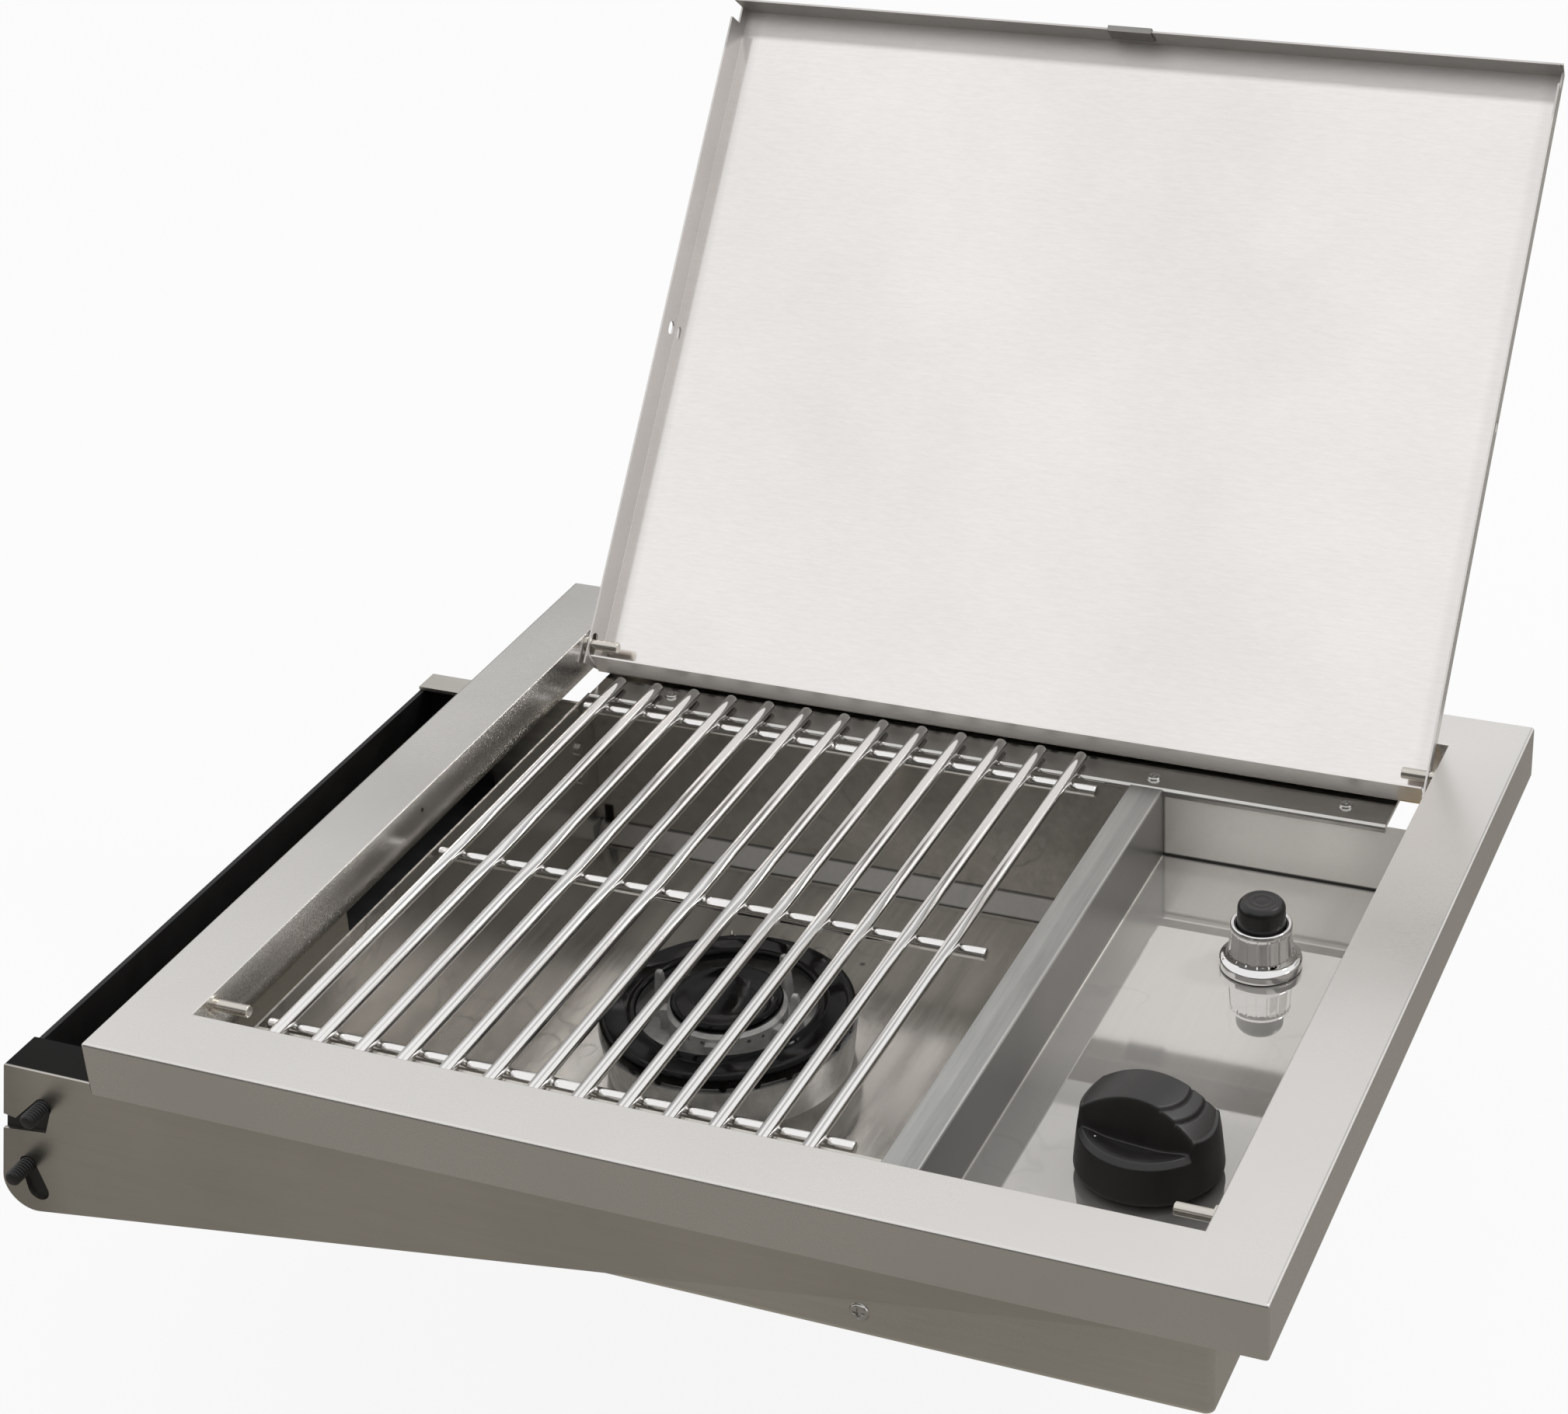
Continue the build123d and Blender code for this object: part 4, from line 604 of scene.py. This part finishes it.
def makeKnob():
    k = knob
    angle = np.linspace(0, 2 * np.pi, 420, endpoint=False)
    edge = k["shelfRadius"] - 2.0
    reach = edge * np.linspace(1, 0.01, 130)[:, None]
    x, y = reach * np.cos(angle), reach * np.sin(angle)
    crown = np.stack([x, y, knobHeight(x, y)], axis=-1)
    rim = crown[0, :, 2]
    # the rim rounds over into the side, then the side runs down to a rolled foot
    onShelf = smooth01((k["shelf"] + 2 - rim) / 2)
    fall = 1.1 + 0.9 * onShelf
    share = np.linspace(0, 1, 8)[1:-1][:, None]
    sideTop = knobSide(rim - fall)
    turnRadius = edge + (sideTop - edge) * np.where(onShelf > 0.5, share, np.sin(share * np.pi / 2))
    turnHeight = rim - fall * np.where(onShelf > 0.5, share, 1 - np.cos(share * np.pi / 2))
    low = k["bottom"] + 0.8
    down = np.linspace(0, 1, 26)[:, None]
    sideHeight = (rim - fall) * (1 - down) + low * down
    sideRadius = knobSide(sideHeight)
    footHeight = np.array([0.3, 0.0, 0.0])[:, None] + k["bottom"] + 0 * angle
    footRadius = k["radius"] - np.array([0.15, 0.8, 3.0])[:, None] + 0 * angle
    radius = np.concatenate([turnRadius, sideRadius, footRadius])
    height = np.concatenate([turnHeight, sideHeight, footHeight])
    side = np.stack([radius * np.cos(angle), radius * np.sin(angle), height], axis=-1)
    shell = np.concatenate([side[::-1], crown])
    shell = shell + (k["centre"][0], k["centre"][1], 0)
    addPiece("knob_moulded", [shell], "dial", "knob_plastic", ("knob",), sharp=50)
    # tiny white dot on the shelf: a low ball
    polar = np.linspace(0.05, np.pi - 0.05, 9)[:, None]
    around = np.linspace(0, 2 * np.pi, 24, endpoint=False)[None]
    x, y = k["dot"]
    size = k["dotRadius"]
    dot = np.stack([x + size * np.sin(polar) * np.cos(around), y + size * np.sin(polar) * np.sin(around),
                    knobHeight(np.array(x), np.array(y)) - 0.3 * size * np.cos(polar) + 0 * around], axis=-1)
    addPiece("knob_dot", [dot + (k["centre"][0], k["centre"][1], 0)], "dial", "ceramic")


makeKnob()
print("knob made")


# igniter
igniter = {
    "centre": (345.5, 247.0), "gasketTop": -49.7,
    "flangeRadius": 15.5, "flangeTop": -46.1,
    "collarFoot": -44.6, "collarRadius": 12.3, "collarTopRadius": 11.7,
    "rim": -31.1, "bore": 9.2, "barrel": 11.0, "barrelBottom": -66.0,
    "flats": 18, "flatDepth": 1.5, "groove": 0.5, "grooveAngle": 0.03,
    "button": 9.1, "buttonTop": -22.0, "buttonBottom": -52.0,
}


def makeIgniter():
    g = igniter
    rim, foot, top = g["rim"], g["collarFoot"], g["flangeTop"]
    profile = softCorners([(g["bore"], g["barrelBottom"]), (g["barrel"], g["barrelBottom"]),
                           (g["barrel"], g["gasketTop"]), (g["flangeRadius"], g["gasketTop"]),
                           (g["flangeRadius"], top - 0.4), (g["flangeRadius"] - 0.5, top),
                           (g["collarRadius"] + 0.8, top + 0.75), (g["collarRadius"], foot + 1.2),
                           (g["collarTopRadius"], rim - 1.6), (g["collarTopRadius"] - 0.2, rim - 0.3),
                           (g["collarTopRadius"] - 1.3, rim), (g["bore"], rim - 1.1),
                           (g["bore"], g["barrelBottom"])],
                          [0.3, 0.3, 0.25, 0.35, 0.35, 1.3, 0.5, 0.5, 0.8, 0.9, 0.5], 8)
    profile = refine(profile, 0.9)[:-1]
    shell = lathe(g["centre"], profile, 504)
    angle = np.linspace(0, 2 * np.pi, 504, endpoint=False)
    pitch = 2 * np.pi / g["flats"]
    off = (angle % pitch) - pitch / 2
    # flats: the chord of each pitch, deepened and cut by a narrow groove where two flats meet
    flat = g["collarRadius"] * (1 - math.cos(pitch / 2) / np.cos(off)) * g["flatDepth"]
    groove = g["groove"] * np.exp(-((pitch / 2 - np.abs(off)) / g["grooveAngle"]) ** 2)
    heights = profile[:, 1:]
    onCollar = smooth01((heights - g["collarFoot"]) / 1.2) * smooth01((g["rim"] - 1.7 - heights) / 0.8)
    onCollar = onCollar * (profile[:, :1] > g["collarTopRadius"] - 0.4)
    scale = 1 - onCollar * (flat + groove)[None] / profile[:, :1]
    shell[..., 0] = g["centre"][0] + (shell[..., 0] - g["centre"][0]) * scale
    shell[..., 1] = g["centre"][1] + (shell[..., 1] - g["centre"][1]) * scale
    addPiece("igniter_bezel_plated", [shell], "base", "bezel_chrome", ("igniter_bezel",), closed=True, sharp=28)

    top = g["buttonTop"]
    radii = np.array([0.4, 2.2, 2.7, 3.2, 4.6, 5.1, 5.6, 7.0])
    dips = np.array([0.25, 0.25, 0.33, 0.12, 0.1, 0.22, 0.06, 0.1])
    profile = softCorners([(0.4, g["buttonBottom"]), (g["button"], g["buttonBottom"]), (g["button"], g["rim"]),
                           (g["button"] - 0.15, top - 1.9), (g["button"] - 1.7, top - 0.15), (7.0, top - 0.1)],
                          [0.5, 0.5, 1.2, 1.0], 8)
    profile = np.concatenate([profile, np.stack([radii, top - dips], axis=-1)[::-1]])
    addPiece("igniter_button_moulded", [lathe(g["centre"], profile, 96)], "button", "button_plastic",
             ("igniter_button",), sharp=60)


makeIgniter()
print("igniter made")


# fasteners
fasteners = {
    "bolts": ((-24.5, -34.6), (-36.5, -62.0)), "boltRadius": 3.0, "threadPitch": 1.25, "threadDepth": 0.32,
    "boltReach": 10.0, "frontFace": 3.0, "frontStart": 13.0, "rearFace": 305.0, "rearStart": 295.0,
    "heads": ((68.3, 319.6), (358.0, 319.6), (281.0, 317.0)), "headRadius": 3.0, "headHeight": 1.4,
    "seat": -20.0, "screwRadius": 2.0, "screwLength": 8.0, "recess": 0.8,
    "frontScrew": (284.5, -42.6), "frontScrewFace": 4.5, "frontScrewRadius": 3.6, "frontScrewHeight": 1.2,
}


def threadedStud(x, z, start, end):
    # triangle wave wound round the axis: the radius dips once per pitch, and both ends are chamfered
    f = fasteners
    step = f["threadPitch"] / 10
    run = np.arange(min(start, end), max(start, end) + 1e-6, step)
    run[-1] = max(start, end)
    angle = np.linspace(0, 2 * np.pi, 30, endpoint=False)
    turn = run[:, None] / f["threadPitch"] - angle[None] / (2 * np.pi)
    wave = np.abs((turn % 1) - 0.5) * 2
    inset = np.minimum(run - run[0], run[-1] - run)[:, None]
    radius = np.minimum(f["boltRadius"] - f["threadDepth"] * wave, f["boltRadius"] - 0.8 + inset)
    across, up = radius * np.sin(angle), radius * np.cos(angle)
    return np.stack([x + across, run[:, None] + 0 * radius, z + up], axis=-1)


def screwHead(radius, height, shank, length, recess):
    # pan head from the recess out to the rim, then the shank; a soft cross is pressed into the top
    angle = np.linspace(0, 2 * np.pi, 96, endpoint=False)[None]
    reach = radius * np.linspace(0.01, 1, 40)[:, None]
    dome = height * (1 - 0.35 * (reach / radius) ** 2 - 0.65 * smooth01((reach / radius - 0.72) / 0.28) ** 2)
    x, y = reach * np.cos(angle), reach * np.sin(angle)
    arm = np.minimum(np.abs(x), np.abs(y))
    far = np.maximum(np.abs(x), np.abs(y))
    cross = smooth01((radius * 0.14 - arm) / 0.15 + 0.5) * smooth01((radius * 0.58 - far) / 0.25 + 0.5)
    z = np.maximum(dome - recess * cross, 0.0)
    radii = np.array([shank, shank])[:, None]
    drops = np.array([0.0, -length])[:, None]
    lower = np.stack([radii * np.cos(angle), radii * np.sin(angle), drops + 0 * angle], axis=-1)
    return np.concatenate([lower[::-1], np.stack([x, y, z], axis=-1)[::-1]])


def makeFasteners():
    f = fasteners
    studs = []
    for x, z in f["bolts"]:
        studs.append(threadedStud(x, z, f["frontFace"] - f["boltReach"], f["frontStart"]))
        studs.append(threadedStud(x, z, f["rearStart"], f["rearFace"] + f["boltReach"]))
    addPiece("arm_bolts_threaded", studs, "base", "black_steel", ("arm_bolts",), sharp=75)
    head = screwHead(f["headRadius"], f["headHeight"], f["screwRadius"], f["screwLength"], f["recess"])
    heads = [head + (x, y, f["seat"]) for x, y in f["heads"]]
    addPiece("ledge_screws_pan_head", heads, "base", "fastener_steel", ("ledge_screws",), sharp=50)
    head = screwHead(f["frontScrewRadius"], f["frontScrewHeight"], f["screwRadius"], f["screwLength"], 0.7)
    x, z = f["frontScrew"]
    turned = np.stack([head[..., 0], -head[..., 2], head[..., 1]], axis=-1)
    addPiece("front_screw_pan_head", [turned + (x, f["frontScrewFace"], z)], "base", "fastener_steel",
             ("front_screw",), sharp=50)


makeFasteners()
print("fasteners made")


# studio
studio = {
    "floorHeight": -0.16, "floorSize": 8.0, "floorWhite": 0.88,
    "groundLift": 0.002, "groundSize": 7.0,
    "ambient": 0.8,
    "groundLevel": (0.27, 0.255, 0.23),
    "curtainLevel": (0.13, 0.127, 0.12),
    "curtainX": 0.25, "curtainRadius": 2.2, "curtainTop": 1.6, "curtainSpan": (212.0, 335.0),
    # gray cards that only reflections see: two opposite corners and a level
    "cards": {
        "left_card": ((-2.6, 2.5, -0.16), (-1.25, 2.5, 1.05), 0.26),
        "upper_left_card": ((-2.6, 2.5, 1.05), (-0.5, 2.5, 1.95), 0.52),
        "high_card": ((0.2, 2.5, 1.2), (1.4, 2.5, 2.7), 0.5),
    },
    "key": {"at": (1.8, 0.9, 2.0), "size": 0.4, "watts": 12},
}


def backdropMask(tree):
    # camera, glossy and transmission rays see the white backdrop
    seen = addNode(tree, "ShaderNodeLightPath")
    both = addMaths(tree, "ADD", seen.outputs["Is Camera Ray"], seen.outputs["Is Glossy Ray"])
    total = addMaths(tree, "ADD", both, seen.outputs["Is Transmission Ray"])
    return addMaths(tree, "MINIMUM", total, 1.0)


def makeWorld():
    # white for the rays that see the backdrop, the ambient level for all others
    world = bpy.data.worlds.new("studio")
    bpy.context.scene.world = world
    world.use_nodes = True
    tree = world.node_tree
    tree.nodes.clear()
    level = mapRange(tree, backdropMask(tree), studio["ambient"], 1.0, 0.0, 1.0)
    white = addNode(tree, "ShaderNodeBackground")
    white.inputs["Color"].default_value = (1, 1, 1, 1)
    feed(tree, white.inputs["Strength"], level)
    out = addNode(tree, "ShaderNodeOutputWorld")
    tree.links.new(white.outputs["Background"], out.inputs["Surface"])


def stageSheet(name, points, faces, material):
    # flat faces that belong to the studio, not to the part
    data = bpy.data.meshes.new(name)
    data.from_pydata(points, [], faces)
    data.materials.append(material)
    thing = bpy.data.objects.new(name, data)
    bpy.context.scene.collection.objects.link(thing)
    return thing


def squareSheet(name, height, size, material):
    # a level square about the row's middle
    corners = [(x, y, height) for x, y in ((-size, -size), (size, -size), (size, size), (-size, size))]
    return stageSheet(name, corners, [(0, 1, 2, 3)], material)


def makeFloor():
    # matt paper that catches shadows and looks nearly white to the backdrop's rays
    material, tree, shader = newMaterial("floor paper")
    cloud = grainField(tree, 1.5, 2.0)
    feed(tree, shader.inputs["Base Color"], mixColor(tree, cloud, gray(0.86), gray(0.9)))
    shader.inputs["Roughness"].default_value = 0.9
    shader.inputs["Specular IOR Level"].default_value = 0
    white = addNode(tree, "ShaderNodeEmission", Strength=1.0)
    mix = addNode(tree, "ShaderNodeMixShader")
    feed(tree, mix.inputs["Fac"], addMaths(tree, "MULTIPLY", backdropMask(tree), studio["floorWhite"]))
    tree.links.new(shader.outputs["BSDF"], mix.inputs[1])
    tree.links.new(white.outputs["Emission"], mix.inputs[2])
    tree.links.new(mix.outputs["Shader"], tree.nodes["Material Output"].inputs["Surface"])
    squareSheet("floor", studio["floorHeight"], studio["floorSize"], material)


def cardMaterial(name, color):
    # studio card: an even tone with a trace of cloth
    material = bpy.data.materials.new(name)
    material.use_nodes = True
    tree = material.node_tree
    tree.nodes.remove(tree.nodes["Principled BSDF"])
    cloud = grainField(tree, 2.0, 2.0)
    tone = mixColor(tree, cloud, color, tuple(channel * 1.15 for channel in color))
    glow = addNode(tree, "ShaderNodeEmission", Strength=1.0)
    feed(tree, glow.inputs["Color"], tone)
    tree.links.new(glow.outputs["Emission"], tree.nodes["Material Output"].inputs["Surface"])
    return material


def makeCards():
    # gray ground card and a dark curtain in front, seen only in reflections
    ground = squareSheet("ground_card", studio["floorHeight"] + studio["groundLift"], studio["groundSize"],
                         cardMaterial("ground card", studio["groundLevel"]))
    first, last = (math.radians(a) for a in studio["curtainSpan"])
    angle = np.linspace(first, last, 49)
    x = studio["curtainRadius"] * np.cos(angle) + studio["curtainX"]
    y = studio["curtainRadius"] * np.sin(angle)
    low = np.stack([x, y, 0 * x + studio["floorHeight"]], axis=-1)
    high = np.stack([x, y, 0 * x + studio["curtainTop"]], axis=-1)
    count = len(angle)
    step = np.arange(count - 1)
    faces = np.stack([step, step + 1, step + 1 + count, step + count], axis=-1)
    curtain = stageSheet("curtain", np.concatenate([low, high]).tolist(), faces.tolist(),
                         cardMaterial("curtain cloth", studio["curtainLevel"]))
    held = [ground, curtain]
    for name, (first, last, level) in studio["cards"].items():
        corners = [first, (last[0], first[1], first[2]), last, (first[0], last[1], last[2])]
        cloth = cardMaterial(name.replace("_", " "), gray(level))
        held.append(stageSheet(name, corners, [(0, 1, 2, 3)], cloth))
    for card in held:
        card.visible_camera = False
        card.visible_diffuse = False
        card.visible_shadow = False


def makeLamp(name, facts, target=(0.2, 0.0, 0.0)):
    # a round lamp turned to face its target
    data = bpy.data.lights.new(name, "AREA")
    data.shape = "DISK"
    data.size = facts["size"]
    data.energy = facts["watts"]
    thing = bpy.data.objects.new(name, data)
    away = Vector(facts["at"]) - Vector(target)
    thing.matrix_world = Matrix.Translation(facts["at"]) @ away.to_track_quat("Z", "Y").to_matrix().to_4x4()
    bpy.context.scene.collection.objects.link(thing)


makeWorld()
makeFloor()
makeCards()
makeLamp("key lamp", studio["key"])
print("studio set")
